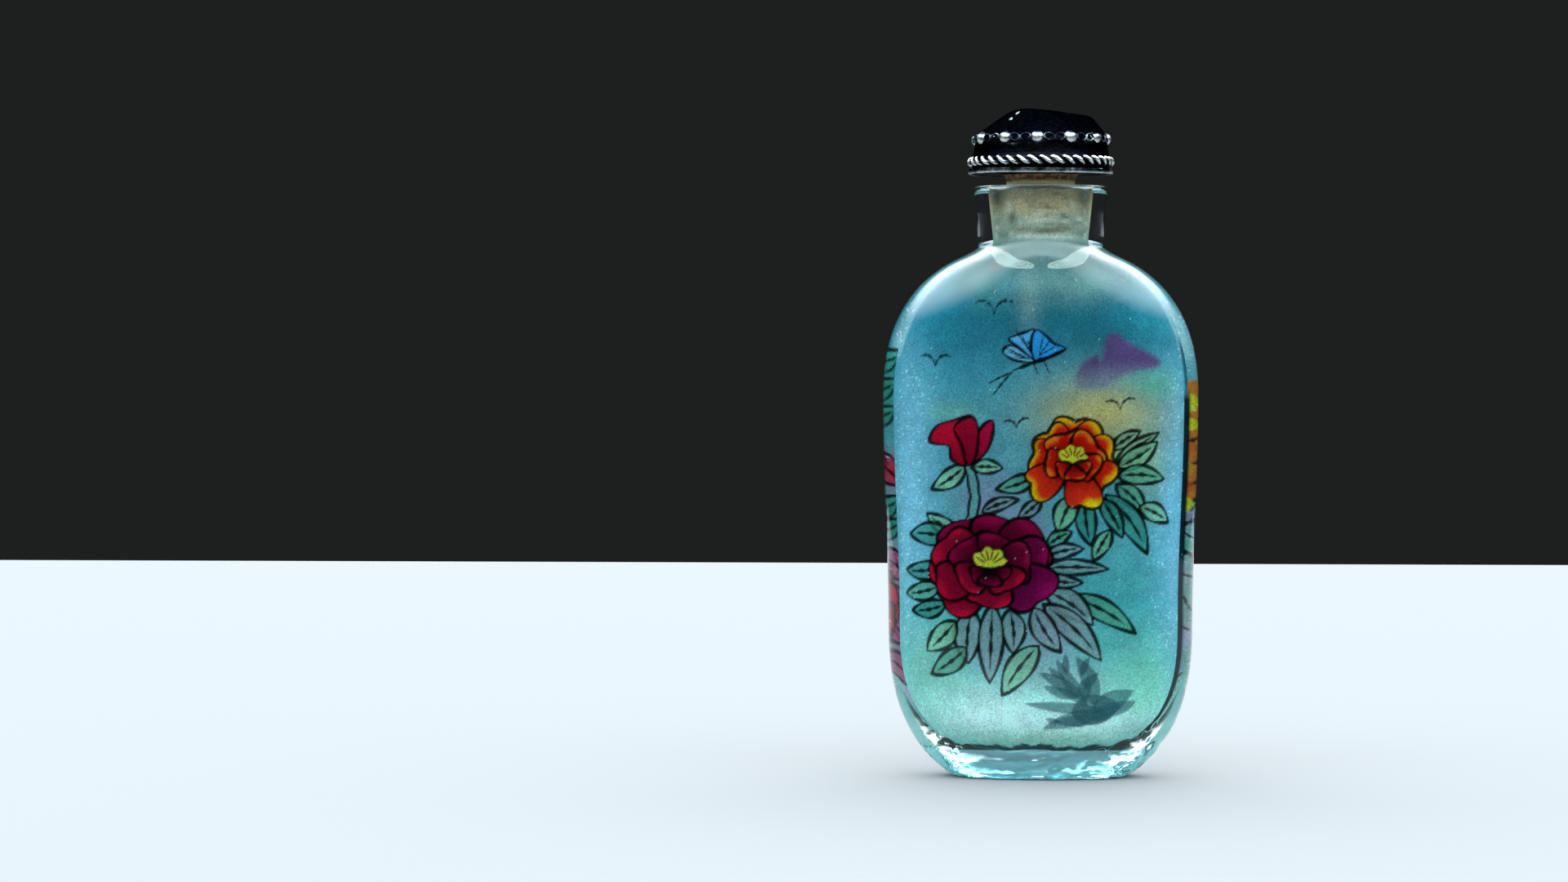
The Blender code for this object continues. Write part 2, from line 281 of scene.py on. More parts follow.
@dataclass(frozen=True)
class CastWhiteMetal:
    """White metal, cast in one piece, blackened all over and rubbed bright by handling.

    Casting leaves fine pits, and the patina stays in them, so it looks near black with a broken gloss, and
    silver on edges and high spots. A point attribute says how bright a part of the casting is, from 0 in the
    dark
    to 1 where it is silver: rubbed bright by handling, and painted light on the lower sides of the grains and
    of the plate's edge.
    """

    patina: str = "#07090E"
    thin_patina: str = "#2A323A"
    silver: str = "#8C979C"
    bright: str = "#DCE3E4"
    graze: str = "#4A525A"
    pit_mm: float = 0.45
    pit_depth_mm: float = 0.06
    pit_span: Pair = (0.3, 0.7)
    gloss_span: Pair = (0.22, 0.5)
    wear_mm: float = 1.3
    wear_span: Pair = (0.86, 1.5)
    edge_span: Pair = (0.47, 0.60)
    edge_share: float = 0.7

    def make(self, name: str) -> bpy.types.Material:
        """Builds the metal.

        Args:
            name: The material's name.

        Returns:
            The material: patina in the hollows, bright metal on edges and high spots.
        """
        values = {"Metallic": 1.0, "Specular Tint": (*linear(self.graze), 1.0)}
        made, tree, shader = start_material(name, values)
        where = add_node(tree, "ShaderNodeTexCoord", {}, {}).outputs["Object"]
        pattern = {"Vector": where, "Scale": per_mm(self.pit_mm), "Detail": 4.0, "Roughness": 0.65}
        pits = add_node(tree, "ShaderNodeTexNoise", {}, pattern).outputs["Fac"]
        pattern = {"Vector": where, "Scale": per_mm(self.wear_mm), "Detail": 4.0, "Roughness": 0.6}
        wear = add_node(tree, "ShaderNodeTexNoise", {}, pattern).outputs["Fac"]
        edge = add_node(tree, "ShaderNodeNewGeometry", {}, {}).outputs["Pointiness"]
        low, high = self.edge_span
        span = {"Value": edge, "From Min": low, "From Max": high, "To Max": self.edge_share}
        raised = add_node(tree, "ShaderNodeMapRange", {}, span).outputs["Result"]
        rubbed_and_lit = add_node(tree, "ShaderNodeAttribute", {"attribute_name": "rubbed_and_lit"}, {}).outputs["Fac"]
        worn = add_node(tree, "ShaderNodeMath", {"operation": "ADD"}, {0: raised, 1: wear}).outputs["Value"]
        total = add_node(tree, "ShaderNodeMath", {"operation": "ADD"}, {0: worn, 1: rubbed_and_lit}).outputs["Value"]
        low, high = self.wear_span
        span = {"Value": total, "From Min": low, "From Max": high}
        share = add_node(tree, "ShaderNodeMapRange", {}, span).outputs["Result"]
        colour = add_node(tree, "ShaderNodeValToRGB", {}, {"Fac": share})
        stops = ((0.0, self.patina), (0.3, self.thin_patina), (0.62, self.silver), (1.0, self.bright))
        set_stops(colour, stops)
        tree.links.new(colour.outputs["Color"], shader.inputs["Base Color"])
        low, high = self.pit_span
        span = {"Value": pits, "From Min": low, "From Max": high, "To Min": self.gloss_span[0],
                "To Max": self.gloss_span[1]}
        gloss = add_node(tree, "ShaderNodeMapRange", {}, span)
        tree.links.new(gloss.outputs["Result"], shader.inputs["Roughness"])
        hollows = {"Height": pits, "Distance": self.pit_depth_mm * MM, "Strength": 0.7}
        relief = add_node(tree, "ShaderNodeBump", {}, hollows)
        tree.links.new(relief.outputs["Normal"], shader.inputs["Normal"])
        return made


@dataclass(frozen=True)
class StudioPaper:
    """Matt pale studio paper, pressed with a very faint tooth, so it scatters evenly and shows no mirror."""

    colour: str = "#656A6D"
    roughness: float = 0.9
    tooth_mm: float = 0.8
    tooth_depth_mm: float = 0.02

    def make(self) -> bpy.types.Material:
        """Returns the paper."""
        values = {"Base Color": (*linear(self.colour), 1.0), "Roughness": self.roughness}
        made, tree, shader = start_material("matt_studio_paper", values)
        where = add_node(tree, "ShaderNodeTexCoord", {}, {}).outputs["Object"]
        pattern = {"Vector": where, "Scale": per_mm(self.tooth_mm)}
        tooth = add_node(tree, "ShaderNodeTexNoise", {}, pattern).outputs["Fac"]
        pressed = {"Height": tooth, "Distance": self.tooth_depth_mm * MM, "Strength": 0.2}
        relief = add_node(tree, "ShaderNodeBump", {}, pressed)
        tree.links.new(relief.outputs["Normal"], shader.inputs["Normal"])
        return made


def deselect_all() -> None:
    """Leaves nothing selected, since operators act on all that is."""
    for item in bpy.context.selected_objects:
        item.select_set(False)


def pick(made: bpy.types.Object) -> None:
    """Selects one object alone and makes it the active one."""
    deselect_all()
    made.select_set(True)
    bpy.context.view_layer.objects.active = made


def take_new(name: str) -> bpy.types.Object:
    """Names the object that an operator has just added, and its mesh.

    Args:
        name: The new name.

    Returns:
        The object.
    """
    made = bpy.context.object
    made.name = name
    made.data.name = name
    return made


def set_points(mesh: bpy.types.Mesh, points: np.ndarray) -> None:
    """Moves a mesh's vertices to an array of points."""
    mesh.vertices.foreach_set("co", points.astype(np.float32).ravel())
    mesh.update()


def get_points(mesh: bpy.types.Mesh) -> np.ndarray:
    """Reads a mesh's vertices.

    Args:
        mesh: The mesh.

    Returns:
        An array of points, one row each.
    """
    points = np.empty(len(mesh.vertices) * 3, np.float32)
    mesh.vertices.foreach_get("co", points)
    return points.reshape(-1, 3).astype(float)


def shaped_grid(name: str, columns: int, rows: int, place: Placer) -> bpy.types.Object:
    """Adds a grid primitive and drapes it over a form.

    Args:
        name: The object's name.
        columns: Number of faces across.
        rows: Number of faces up.
        place: Gives points from shares across and up the grid.

    Returns:
        The grid, with each vertex in its place.
    """
    deselect_all()
    bpy.ops.mesh.primitive_grid_add(x_subdivisions=columns, y_subdivisions=rows, size=2.0)
    made = take_new(name)
    flat = get_points(made.data)
    set_points(made.data, place((flat[:, 0] + 1) / 2, (flat[:, 1] + 1) / 2))
    return made


def close_mesh(made: bpy.types.Object) -> None:
    """Merges seams, fills open ends and turns all faces outwards.

    Args:
        made: The piece.
    """
    pick(made)
    bpy.ops.object.mode_set(mode="EDIT")
    bpy.ops.mesh.select_all(action="SELECT")
    bpy.ops.mesh.remove_doubles(threshold=MERGE)
    bpy.ops.mesh.select_mode(type="VERT")
    bpy.ops.mesh.select_all(action="DESELECT")
    bpy.ops.mesh.select_non_manifold()
    bpy.ops.mesh.fill_holes(sides=0)
    bpy.ops.mesh.select_all(action="SELECT")
    bpy.ops.mesh.normals_make_consistent(inside=False)
    bpy.ops.object.mode_set(mode="OBJECT")


def apply_modifiers(made: bpy.types.Object) -> None:
    """Applies an object's modifiers in order."""
    pick(made)
    for modifier in list(made.modifiers):
        bpy.ops.object.modifier_apply(modifier=modifier.name)


def join(name: str, pieces: Sequence[bpy.types.Object]) -> bpy.types.Object:
    """Joins pieces of one casting.

    Args:
        name: The joined object's name.
        pieces: The objects to join.

    Returns:
        The joined object.
    """
    deselect_all()
    for piece in pieces:
        piece.select_set(True)
    bpy.context.view_layer.objects.active = pieces[0]
    bpy.ops.object.join()
    return take_new(name)


def bake_place(made: bpy.types.Object) -> None:
    """Puts an object's place, turn and scale into its mesh."""
    pick(made)
    bpy.ops.object.transform_apply(location=True, rotation=True, scale=True)


def smooth_shade(made: bpy.types.Object, degrees: float) -> None:
    """Shades an object smooth, with edges sharper than this angle kept crisp."""
    pick(made)
    bpy.ops.object.shade_smooth_by_angle(angle=math.radians(degrees))


def present(made: bpy.types.Object, node: str) -> None:
    """Rides a finished piece on the root body and names what it replaces.

    Args:
        made: The piece.
        node: The CAD node that it stands for, or nothing.
    """
    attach(made, ROOT)
    if node:
        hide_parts(node)
    LOG.info("%s: %d faces", made.name, len(made.data.polygons))


class Wall(Enum):
    """Which run of the flask's surface a row of points belongs to."""

    OUTSIDE = 0
    INSIDE = 1


class Crowded(Enum):
    """The end of a run at which its levels stand closer together."""

    NEITHER = 0
    START = 1
    END = 2


class Face(Enum):
    """The two painted faces of the flask, by the sign of their Y side."""

    FRONT = -1
    BACK = 1


@dataclass
class Flask:
    """The flattened glass flask, with the same sizes in millimetres as the solid."""

    width: float = 37.7
    depth: float = 18.5
    low_width: float = 36.4
    foot_width: float = 21.0
    foot_depth: float = 11.6
    corner_height: float = 19.0
    side_height: float = 26.1
    shoulder_height: float = 18.6
    squareness: float = 2.8
    foot_squareness: float = 2.3
    shoulder_curve: float = 2.4
    corner_curve: float = 2.5
    side_wall: float = 3.3
    face_wall: float = 2.8
    shoulder_wall: float = 3.0
    floor_level: float = 3.8
    cavity_curve: float = 3.0
    foot_ring: float = 3.4
    foot_ring_side: float = 2.4
    recess_rise: float = 1.3
    foot_edge: float = 0.25
    neck_height: float = 6.9
    neck_rim: float = 15.95
    neck_foot: float = 14.9
    neck_fillet: float = 2.6
    bore_rim: float = 8.2
    bore_foot: float = 7.2
    bore_fillet: float = 2.2
    rim_edge: float = 0.25
    neck_runout: Pair = (1.7, 0.9)
    bore_runout: Pair = (3.0, 2.4)
    facets: int = 240
    neck_wear: float = 0.5
    under_wear: float = 0.6
    thick_glass: float = 3.45

    def __post_init__(self) -> None:
        """Works out the levels that follow from the heights."""
        self.low_depth = self.depth * self.low_width / self.width
        self.widest = self.corner_height + self.side_height
        self.shoulder_top = self.widest + self.shoulder_height
        self.rim = self.shoulder_top + self.neck_height
        self.cavity_top = self.shoulder_top - self.shoulder_wall

    @staticmethod
    def arch(share: float, curve: float) -> float:
        """Height of a quarter superellipse of size 1 at a share of its width."""
        share = min(max(share, 0.0), 1.0)
        return (1.0 - share**curve) ** (1.0 / curve)

    @staticmethod
    def filleted(first: float, second: float, fillet: float) -> float:
        """The larger of two sizes, with the change between them rounded off."""
        near = max(fillet - abs(first - second), 0.0) / fillet
        return max(first, second) + near * near * fillet / 4.0

    def tapered(self, level: float, foot: float, rim: float) -> float:
        """Radius of the neck or its bore at a level."""
        share = max(level - self.shoulder_top, 0.0) / self.neck_height
        return (foot + (rim - foot) * share) / 2

    def corner(self, level: float, low: float, foot: float) -> float:
        """Half size of the lower corner at a level."""
        drop = self.corner_height / self.arch(foot / low, self.corner_curve)
        return low / 2 * self.arch((self.corner_height - level) / drop, self.corner_curve)

    def side(self, level: float, full: float, low: float) -> float:
        """Half size of the slightly tapered side at a level."""
        return float(low + (full - low) * smooth(self.corner_height, self.widest, level)) / 2

    def shelf(self, level: float, top: float, full: float, runout: Pair) -> float:
        """How far the shoulder still stands out over the neck or the bore at a level.

        Args:
            level: Height in millimetres.
            top: Where the shoulder's arch would end.
            full: How far it stands out where the flask is widest.
            runout: How far below and above the top a smooth hollow takes the arch's place.

        Returns:
            The reach beyond the neck or the bore.
        """
        below, above = runout
        height, start, length, nudge = top - self.widest, top - below, below + above, 0.1
        if level <= start:
            return full * self.arch((level - self.widest) / height, self.shoulder_curve)
        reach, just_under = (
            full * self.arch((place - self.widest) / height, self.shoulder_curve)
            for place in (start, start - nudge)
        )
        share = min((level - start) / length, 1.0)
        slope = (reach - just_under) / nudge
        eased_reach = reach * (2 * share**3 - 3 * share**2 + 1)
        return eased_reach + slope * length * (share**3 - 2 * share**2 + share)

    def outer(self, level: float) -> Section:
        """Section of the outside at a level.

        Args:
            level: Height in millimetres.

        Returns:
            Half width, half depth and squareness.
        """
        neck = self.tapered(level, self.neck_foot, self.neck_rim)
        rise = (level - self.widest) / self.shoulder_height
        if rise > 0.0:
            arch = self.arch(rise, self.shoulder_curve)
            wide = self.filleted(self.width / 2 * arch, neck, self.neck_fillet)
            deep = neck + self.shelf(level, self.shoulder_top, self.depth / 2 - neck, self.neck_runout)
            return wide, deep, self.squareness + (2.0 - self.squareness) * float(smooth(0.5, 1.0, rise))
        if level < self.corner_height:
            wide = self.corner(level, self.low_width, self.foot_width)
            deep = self.corner(level, self.low_depth, self.foot_depth)
            share = float(smooth(0.0, self.corner_height, level))
            return wide, deep, self.foot_squareness + (self.squareness - self.foot_squareness) * share
        wide = self.side(level, self.width, self.low_width)
        return wide, self.side(level, self.depth, self.low_depth), self.squareness

    def inner(self, level: float) -> Section:
        """Section of the cavity and bore at a level.

        Args:
            level: Height in millimetres.

        Returns:
            Half width, half depth and squareness.
        """
        bore = self.tapered(level, self.bore_foot, self.bore_rim)
        walls, faces = 2 * self.side_wall, 2 * self.face_wall
        rise = (level - self.widest) / (self.cavity_top - self.widest)
        if rise > 0.0:
            arch = self.arch(rise, self.shoulder_curve)
            wide = self.filleted((self.width - walls) / 2 * arch, bore, self.bore_fillet)
            reach = (self.depth - faces) / 2 - bore
            deep = bore + self.shelf(level, self.cavity_top, reach, self.bore_runout)
            return wide, deep, self.squareness + (2.0 - self.squareness) * float(smooth(0.5, 1.0, rise))
        if level < self.corner_height:
            run = (self.corner_height - level) / (self.corner_height - self.floor_level)
            arch = self.arch(run, self.cavity_curve)
            return (self.low_width - walls) / 2 * arch, (self.low_depth - faces) / 2 * arch, self.squareness
        wide = self.side(level, self.width - walls, self.low_width - walls)
        return wide, self.side(level, self.depth - faces, self.low_depth - faces), self.squareness

    def rows(self) -> list[tuple[float, float, float, float, Wall]]:
        """Rows of the whole surface, from the recess's middle round the rim to the cavity's floor.

        Returns:
            Half width, half depth, squareness, level and wall of each row.
        """
        made: list[tuple[float, float, float, float, Wall]] = []
        wide, deep, square = self.outer(0.0)
        recess_wide, recess_deep = wide - self.foot_ring, deep - self.foot_ring_side

        def add(row_wide: float, row_deep: float, row_square: float, level: float, wall: Wall) -> None:
            """Adds one row."""
            made.append((row_wide, row_deep, row_square, level, wall))

        for share in (0.02, 0.35, 0.7, 0.92):
            add(recess_wide * share, recess_deep * share, square, self.recess_rise, Wall.OUTSIDE)
        for left, gone in self.rounding(self.foot_edge, 4):
            add(recess_wide - left, recess_deep - left, square, self.recess_rise - gone, Wall.OUTSIDE)
        for left, gone in self.rounding(self.foot_edge, 3):
            add(recess_wide + gone, recess_deep + gone, square, left, Wall.OUTSIDE)
        quarters = (0.25, 0.5, 0.75)
        for share in quarters:
            reach = self.foot_edge + (self.foot_ring - 2 * self.foot_edge) * share
            side = self.foot_edge + (self.foot_ring_side - 2 * self.foot_edge) * share
            add(recess_wide + reach, recess_deep + side, square, 0.0, Wall.OUTSIDE)
        for left, gone in self.rounding(self.foot_edge, 3):
            add(wide - left, deep - left, square, gone, Wall.OUTSIDE)
        for start, end, count, crowded in (
            (self.foot_edge, self.corner_height, 64, Crowded.START),
            (self.corner_height, self.widest, 34, Crowded.NEITHER),
            (self.widest, self.shoulder_top, 76, Crowded.END),
            (self.shoulder_top, self.rim - self.rim_edge, 16, Crowded.NEITHER),
        ):
            for level in self.levels(start, end, count, crowded):
                add(*self.outer(level), level, Wall.OUTSIDE)
        rim, bore = self.neck_rim / 2, self.bore_rim / 2
        for left, gone in self.rounding(self.rim_edge, 4)[1:]:
            add(rim - gone, rim - gone, 2.0, self.rim - left, Wall.OUTSIDE)
        for share in quarters:
            radius = rim - self.rim_edge + (bore - rim + 2 * self.rim_edge) * share
            add(radius, radius, 2.0, self.rim, Wall.OUTSIDE)
        for left, gone in self.rounding(self.rim_edge, 4):
            add(bore + left, bore + left, 2.0, self.rim - gone, Wall.INSIDE)
        for start, end, count, crowded in (
            (self.rim - self.rim_edge, self.shoulder_top, 14, Crowded.NEITHER),
            (self.shoulder_top, self.cavity_top, 6, Crowded.NEITHER),
            (self.cavity_top, self.widest, 44, Crowded.START),
            (self.widest, self.corner_height, 18, Crowded.NEITHER),
            (self.corner_height, self.floor_level + 0.02, 34, Crowded.END),
        ):
            for level in self.levels(start, end, count, crowded):
                add(*self.inner(level), level, Wall.INSIDE)
        last_wide, last_deep, last_square, last_level, _ = made[-1]
        for share in (0.66, 0.33, 0.02):
            add(last_wide * share, last_deep * share, last_square, last_level, Wall.INSIDE)
        return made

    @staticmethod
    def rounding(radius: float, steps: int) -> list[Pair]:
        """Steps round a quarter of a rounded edge.

        Args:
            radius: The edge's radius.
            steps: How many steps the quarter turn has.

        Returns:
            At each step, how much of the radius is left to go outwards, and how much is gone upwards.
        """
        turns = [step / steps * math.pi / 2 for step in range(steps + 1)]
        return [(radius * (1 - math.sin(turn)), radius * (1 - math.cos(turn))) for turn in turns]

    @staticmethod
    def levels(start: float, end: float, count: int, crowded: Crowded) -> list[float]:
        """Levels after start up to end.

        Args:
            start: Where the run starts, which is left out.
            end: The last level.
            count: How many levels.
            crowded: The end at which they stand closer together.

        Returns:
            The levels.
        """
        made = []
        for index in range(1, count + 1):
            share = index / count
            if crowded is Crowded.START:
                share = 1.0 - math.cos(share * math.pi / 2)
            elif crowded is Crowded.END:
                share = math.sin(share * math.pi / 2)
            made.append(start + (end - start) * share)
        return made

    def relief(self, point: Vector) -> float:
        """How far the glass is worn or chipped in at a point of its outside.

        The numbers in front are depths and the divisors are sizes, both in millimetres.

        Args:
            point: The point, in millimetres.

        Returns:
            A depth in millimetres, never less than zero.
        """
        waves = 0.02 * (1.0 + noise.noise(point / 7.0))
        low = 1.0 - float(smooth(2.0, 8.5, point.z))
        if low <= 0.0:
            return waves
        ripple = 0.09 * (1.0 + noise.noise(Vector((point.x / 4.0, point.y / 4.0, point.z / 0.9))))
        ripple += 0.05 * (1.0 + noise.noise(point / 1.1 + Vector((7, 1, 3))))
        corner = float(smooth(6.0, 12.0, abs(point.x)))
        pit = max(noise.noise(point / 0.5) - 0.15, 0.0) * (0.2 + 0.5 * corner)
        chip = max(noise.noise(point / 2.0 + Vector((1, 5, 2))) - 0.10, 0.0) * (0.3 + 1.1 * corner)
        return waves + low * (ripple + pit + chip)

    def build(self) -> bpy.types.Object:
        """Makes the flask's glass as one closed mesh.

        Returns:
            The object, with the ground inside as its second material and the foot as its third.
        """
        rows = self.rows()
        table = np.array([row[:4] for row in rows])
        count = len(rows)

        def place(across: np.ndarray, up: np.ndarray) -> np.ndarray:
            """Puts the grid's columns round each row's section."""
            index = np.rint(up * (count - 1)).astype(int)
            wide, deep, square, level = table[index].T
            turn = across * 2 * math.pi
            cos, sin = np.cos(turn), np.sin(turn)
            reach = (np.abs(cos) ** square + np.abs(sin) ** square) ** (-1.0 / square)
            return np.stack([wide * reach * cos, deep * reach * sin, level], axis=1) * MM

        made = shaped_grid("glass_flask", self.facets, count - 1, place)
        first_inside = next(index for index, row in enumerate(rows) if row[4] is Wall.INSIDE)
        points = get_points(made.data)
        row_of = np.arange(len(points)) // (self.facets + 1)
        outside = np.nonzero(row_of < first_inside)[0]
        for index in outside:
            x, y, z = points[index] / MM
            depth = self.relief(Vector((x, y, z)))
            if z > self.shoulder_top - 1.0:
                depth *= self.neck_wear
            radial = math.hypot(x, y)
            shrink = (radial - depth) / radial if radial > depth else 1.0
            lift = self.under_wear * depth if z < self.foot_edge * 2 and radial > self.foot_depth / 4 else 0.0
            points[index] = (x * shrink * MM, y * shrink * MM, (z + lift) * MM)
        seam = points.reshape(count, self.facets + 1, 3)
        seam[:, -1] = seam[:, 0]
        set_points(made.data, seam.reshape(-1, 3))
        for glass in (POLISHED_GLASS, GROUND_GLASS, FOOT_GLASS):
            made.data.materials.append(glass.make())
        corner = np.empty(len(made.data.loops), np.int32)
        made.data.loops.foreach_get("vertex_index", corner)
        first_row = row_of[corner].reshape(-1, 4).min(axis=1)
        foot = first_row < sum(1 for row in rows[:first_inside] if row[3] < self.thick_glass)
        finish = np.where(first_row >= first_inside, 1, np.where(foot, 2, 0))
        made.data.polygons.foreach_set("material_index", finish.astype(np.int32))
        close_mesh(made)
        smooth_shade(made, 60.0)
        present(made, "glass_bottle")
        return made


@dataclass
class Canvas:
    """Paint on a run of wall points: colours that strokes and fills change in place, in millimetres."""

    across: np.ndarray
    up: np.ndarray
    edge: np.ndarray
    ink: Colour = field(default_factory=lambda: linear("#020609"))
    glint: Colour = field(default_factory=lambda: linear("#E6F8FA"))
    # Share of painted shade laid over the paint above the lowest wash, and how much less of it the bore gets.
    painted_upper_shade: float = 0.39
    bore_shade_easing: float = 0.45
    grain: float = 0.07
    glint_strength: float = 0.35
    line_edge: Pair = (0.06, 0.09)

    def __post_init__(self) -> None:
        """Starts with a plain coat."""
        self.colour = np.zeros((len(self.across), 3))

    def coat(self, stops: Sequence[tuple[float, str]]) -> None:
        """Lays the ground wash as bands that run into each other.

        Args:
            stops: Levels in millimetres and their hex colours, from the bottom up.
        """
        levels = [level for level, _ in stops]
        tones = np.array([linear(tone) for _, tone in stops])
        for channel in range(3):
            self.colour[:, channel] = np.interp(self.up, levels, tones[:, channel])

    def blend(self, index: np.ndarray, tone: Any, share: np.ndarray) -> None:
        """Blends a tone, or one tone a point, into some of the points."""
        self.colour[index] += (np.asarray(tone) - self.colour[index]) * share[:, None]

    def dab(self, centre: Pair, radii: Pair, hex_colour: str, strength: float) -> None:
        """Softly tints a round place.

        Args:
            centre: Its middle.
            radii: Its reach across and up.
            hex_colour: The tint.
            strength: Share of the tint at the middle.
        """
        away = ((self.across - centre[0]) / radii[0]) ** 2 + ((self.up - centre[1]) / radii[1]) ** 2
        self.blend(np.arange(len(away)), linear(hex_colour), strength * np.exp(-away))

    def speckle(self, seed: int) -> None:
        """Darkens the paint above the lowest wash as painted shade, less so in the bore, then grains it and
        adds painted glints.

        Args:
            seed: Keeps the grain the same in each run.
        """
        chance = np.random.default_rng(seed)
        # Painted shade: everything above the lowest wash is darkened, so that the bottom reads as lit from
        # below.
        below_bore = 1.0 - self.bore_shade_easing * smooth(63.0, 66.0, self.up)
        upper_shade = self.painted_upper_shade * smooth(7.0, 15.0, self.up) * below_bore
        self.colour *= (1.0 - upper_shade)[:, None]
        grain = chance.normal(0.0, 1.0, len(self.across))
        self.colour *= np.clip(1.0 + self.grain * grain, 0.6, 1.5)[:, None]
        # Painted glints: pale specks, most of them on pale paint near the side edges.
        pale = smooth(0.5, 0.8, self.colour.sum(axis=1))
        odds = 0.0007 + 0.035 * smooth(11.0, 16.0, np.abs(self.across)) * pale
        glints = np.nonzero(chance.random(len(self.across)) < odds)[0]
        self.blend(glints, self.glint, np.full(len(glints), self.glint_strength))

    def blotches(self, seed: int, reach: float, levels: Pair, tones: Sequence[str], count: int) -> None:
        """Scatters small soft spots, used for stains in the bore and for painted glints at the bottom.

        Args:
            seed: Keeps the stains the same in each run.
            reach: How far to each side they go.
            levels: The levels between which they lie.
            tones: Their hex colours.
            count: How many there are.
        """
        chance = np.random.default_rng(seed)
        for number in range(count):
            centre = (float(chance.uniform(-reach, reach)), float(chance.uniform(*levels)))
            radii = (float(chance.uniform(0.15, 0.6)), float(chance.uniform(0.1, 0.35)))
            self.dab(centre, radii, tones[number % len(tones)], float(chance.uniform(0.2, 0.55)))

    def border(self, hex_colour: str, start: float, end: float, levels: Pair, strength: float,
               side: float = 0.0) -> None:
        """Tints the wall's outermost strip.

        Args:
            hex_colour: The tint.
            start: Share of the half width at which it starts.
            end: Share at which it is full.
            levels: The levels between which it runs.
            strength: Share of the tint where it is full.
            side: -1 or 1 for one side, or 0 for both.
        """
        low, high = levels
        share = smooth(start, end, self.edge) * smooth(low - 1.0, low + 1.0, self.up)
        share *= 1.0 - smooth(high - 1.0, high + 1.0, self.up)
        if side:
            share = share * (self.across * side > 0.0)
        self.blend(np.arange(len(share)), linear(hex_colour), strength * share)

    def near(self, points: np.ndarray, margin: float) -> np.ndarray:
        """Numbers of the wall points inside a shape's box and a margin round it.

        Args:
            points: The shape's points.
            margin: The margin in millimetres.

        Returns:
            The wall points' numbers.
        """
        low, high = points.min(axis=0) - margin, points.max(axis=0) + margin
        inside = (self.across > low[0]) & (self.across < high[0]) & (self.up > low[1]) & (self.up < high[1])
        return np.nonzero(inside)[0]

    def distance(self, index: np.ndarray, points: np.ndarray, closed: bool) -> tuple[np.ndarray, np.ndarray]:
        """Distance from wall points to a line, negative inside a closed one.

        Args:
            index: Numbers of the wall points.
            points: The line's points.
            closed: Whether the line closes on its first point.

        Returns:
            The distances, and the share of the line's length at the nearest place.
        """
        x, y = self.across[index], self.up[index]
        ends = np.roll(points, -1, axis=0) if closed else points[1:]
        starts = points if closed else points[:-1]
        nearest = np.full(len(index), 1e9)
        along = np.zeros(len(index))
        inside = np.zeros(len(index), bool)
        for number, (start, end) in enumerate(zip(starts, ends)):
            run = end - start
            length = max(float(run @ run), 1e-9)
            share = np.clip(((x - start[0]) * run[0] + (y - start[1]) * run[1]) / length, 0.0, 1.0)
            away = np.hypot(x - start[0] - share * run[0], y - start[1] - share * run[1])
            closer = away < nearest
            nearest[closer] = away[closer]
            along[closer] = (number + share[closer]) / len(starts)
            if closed and start[1] != end[1]:
                crosses = (start[1] > y) != (end[1] > y)
                inside ^= crosses & (x < start[0] + (y - start[1]) * run[0] / (end[1] - start[1]))
        return np.where(inside, -nearest, nearest), along

    def fill(self, points: np.ndarray, tones: Callable[[np.ndarray], np.ndarray], soft: float = 0.10) -> None:
        """Fills a closed outline.

        Args:
            points: The outline.
            tones: Gives a colour for each wall point number.
            soft: How far the edge fades, in millimetres.
        """
        index = self.near(points, soft)
        if len(index):
            away, _ = self.distance(index, points, True)
            self.blend(index, tones(index), 1.0 - smooth(-soft, soft, away))

    def line(self, points: np.ndarray, width: float, closed: bool = False, taper: float = 0.0,
             hex_colour: str = "", strength: float = 0.95, pulse: float = 0.30) -> None:
        """Draws a brush line.

        Args:
            points: The line's points.
            width: Its width in millimetres.
            closed: Whether it closes on its first point.
            taper: How much thinner it is at its ends, from 0 to 1.
            hex_colour: Its colour, or nothing for ink.
            strength: How opaque it is.
            pulse: How much its width swells and thins along it, as a share.
        """
        index = self.near(points, width)
        if not len(index):
            return
        away, along = self.distance(index, points, closed)
        swell = 1.0 - taper * np.abs(2.0 * along - 1.0) ** 2
        swell *= 1.0 - 0.4 * pulse + pulse * np.sin(along * 19.0 + points[0, 0] * 3.0)
        full, gone = width * swell / 2 - self.line_edge[0], width * swell / 2 + self.line_edge[1]
        share = 1.0 - smooth(full, gone, np.abs(away))
        self.blend(index, linear(hex_colour) if hex_colour else self.ink, strength * share)


def turned(points: np.ndarray, degrees: float, base: Pair) -> np.ndarray:
    """Turns points about zero and moves them to a base point.

    Args:
        points: The points.
        degrees: The turn.
        base: Where zero goes.

    Returns:
        The moved points.
    """
    turn = math.radians(degrees)
    spin = np.array(((math.cos(turn), math.sin(turn)), (-math.sin(turn), math.cos(turn))))
    return points @ spin + np.array(base)


def rounded(points: Sequence[Pair], steps: int = 5) -> np.ndarray:
    """A smooth closed outline through a few points.

    Args:
        points: The points in order.
        steps: How many points each stretch gets.

    Returns:
        The outline.
    """
    knots = np.array(points)
    before, after, beyond = np.roll(knots, 1, axis=0), np.roll(knots, -1, axis=0), np.roll(knots, -2, axis=0)
    made = []
    for share in np.linspace(0.0, 1.0, steps, endpoint=False):
        made.append(
            0.5 * (2 * knots + (after - before) * share
                   + (2 * before - 5 * knots + 4 * after - beyond) * share**2
                   + (3 * knots - before - 3 * after + beyond) * share**3)
        )
    return np.stack(made, axis=1).reshape(-1, 2)


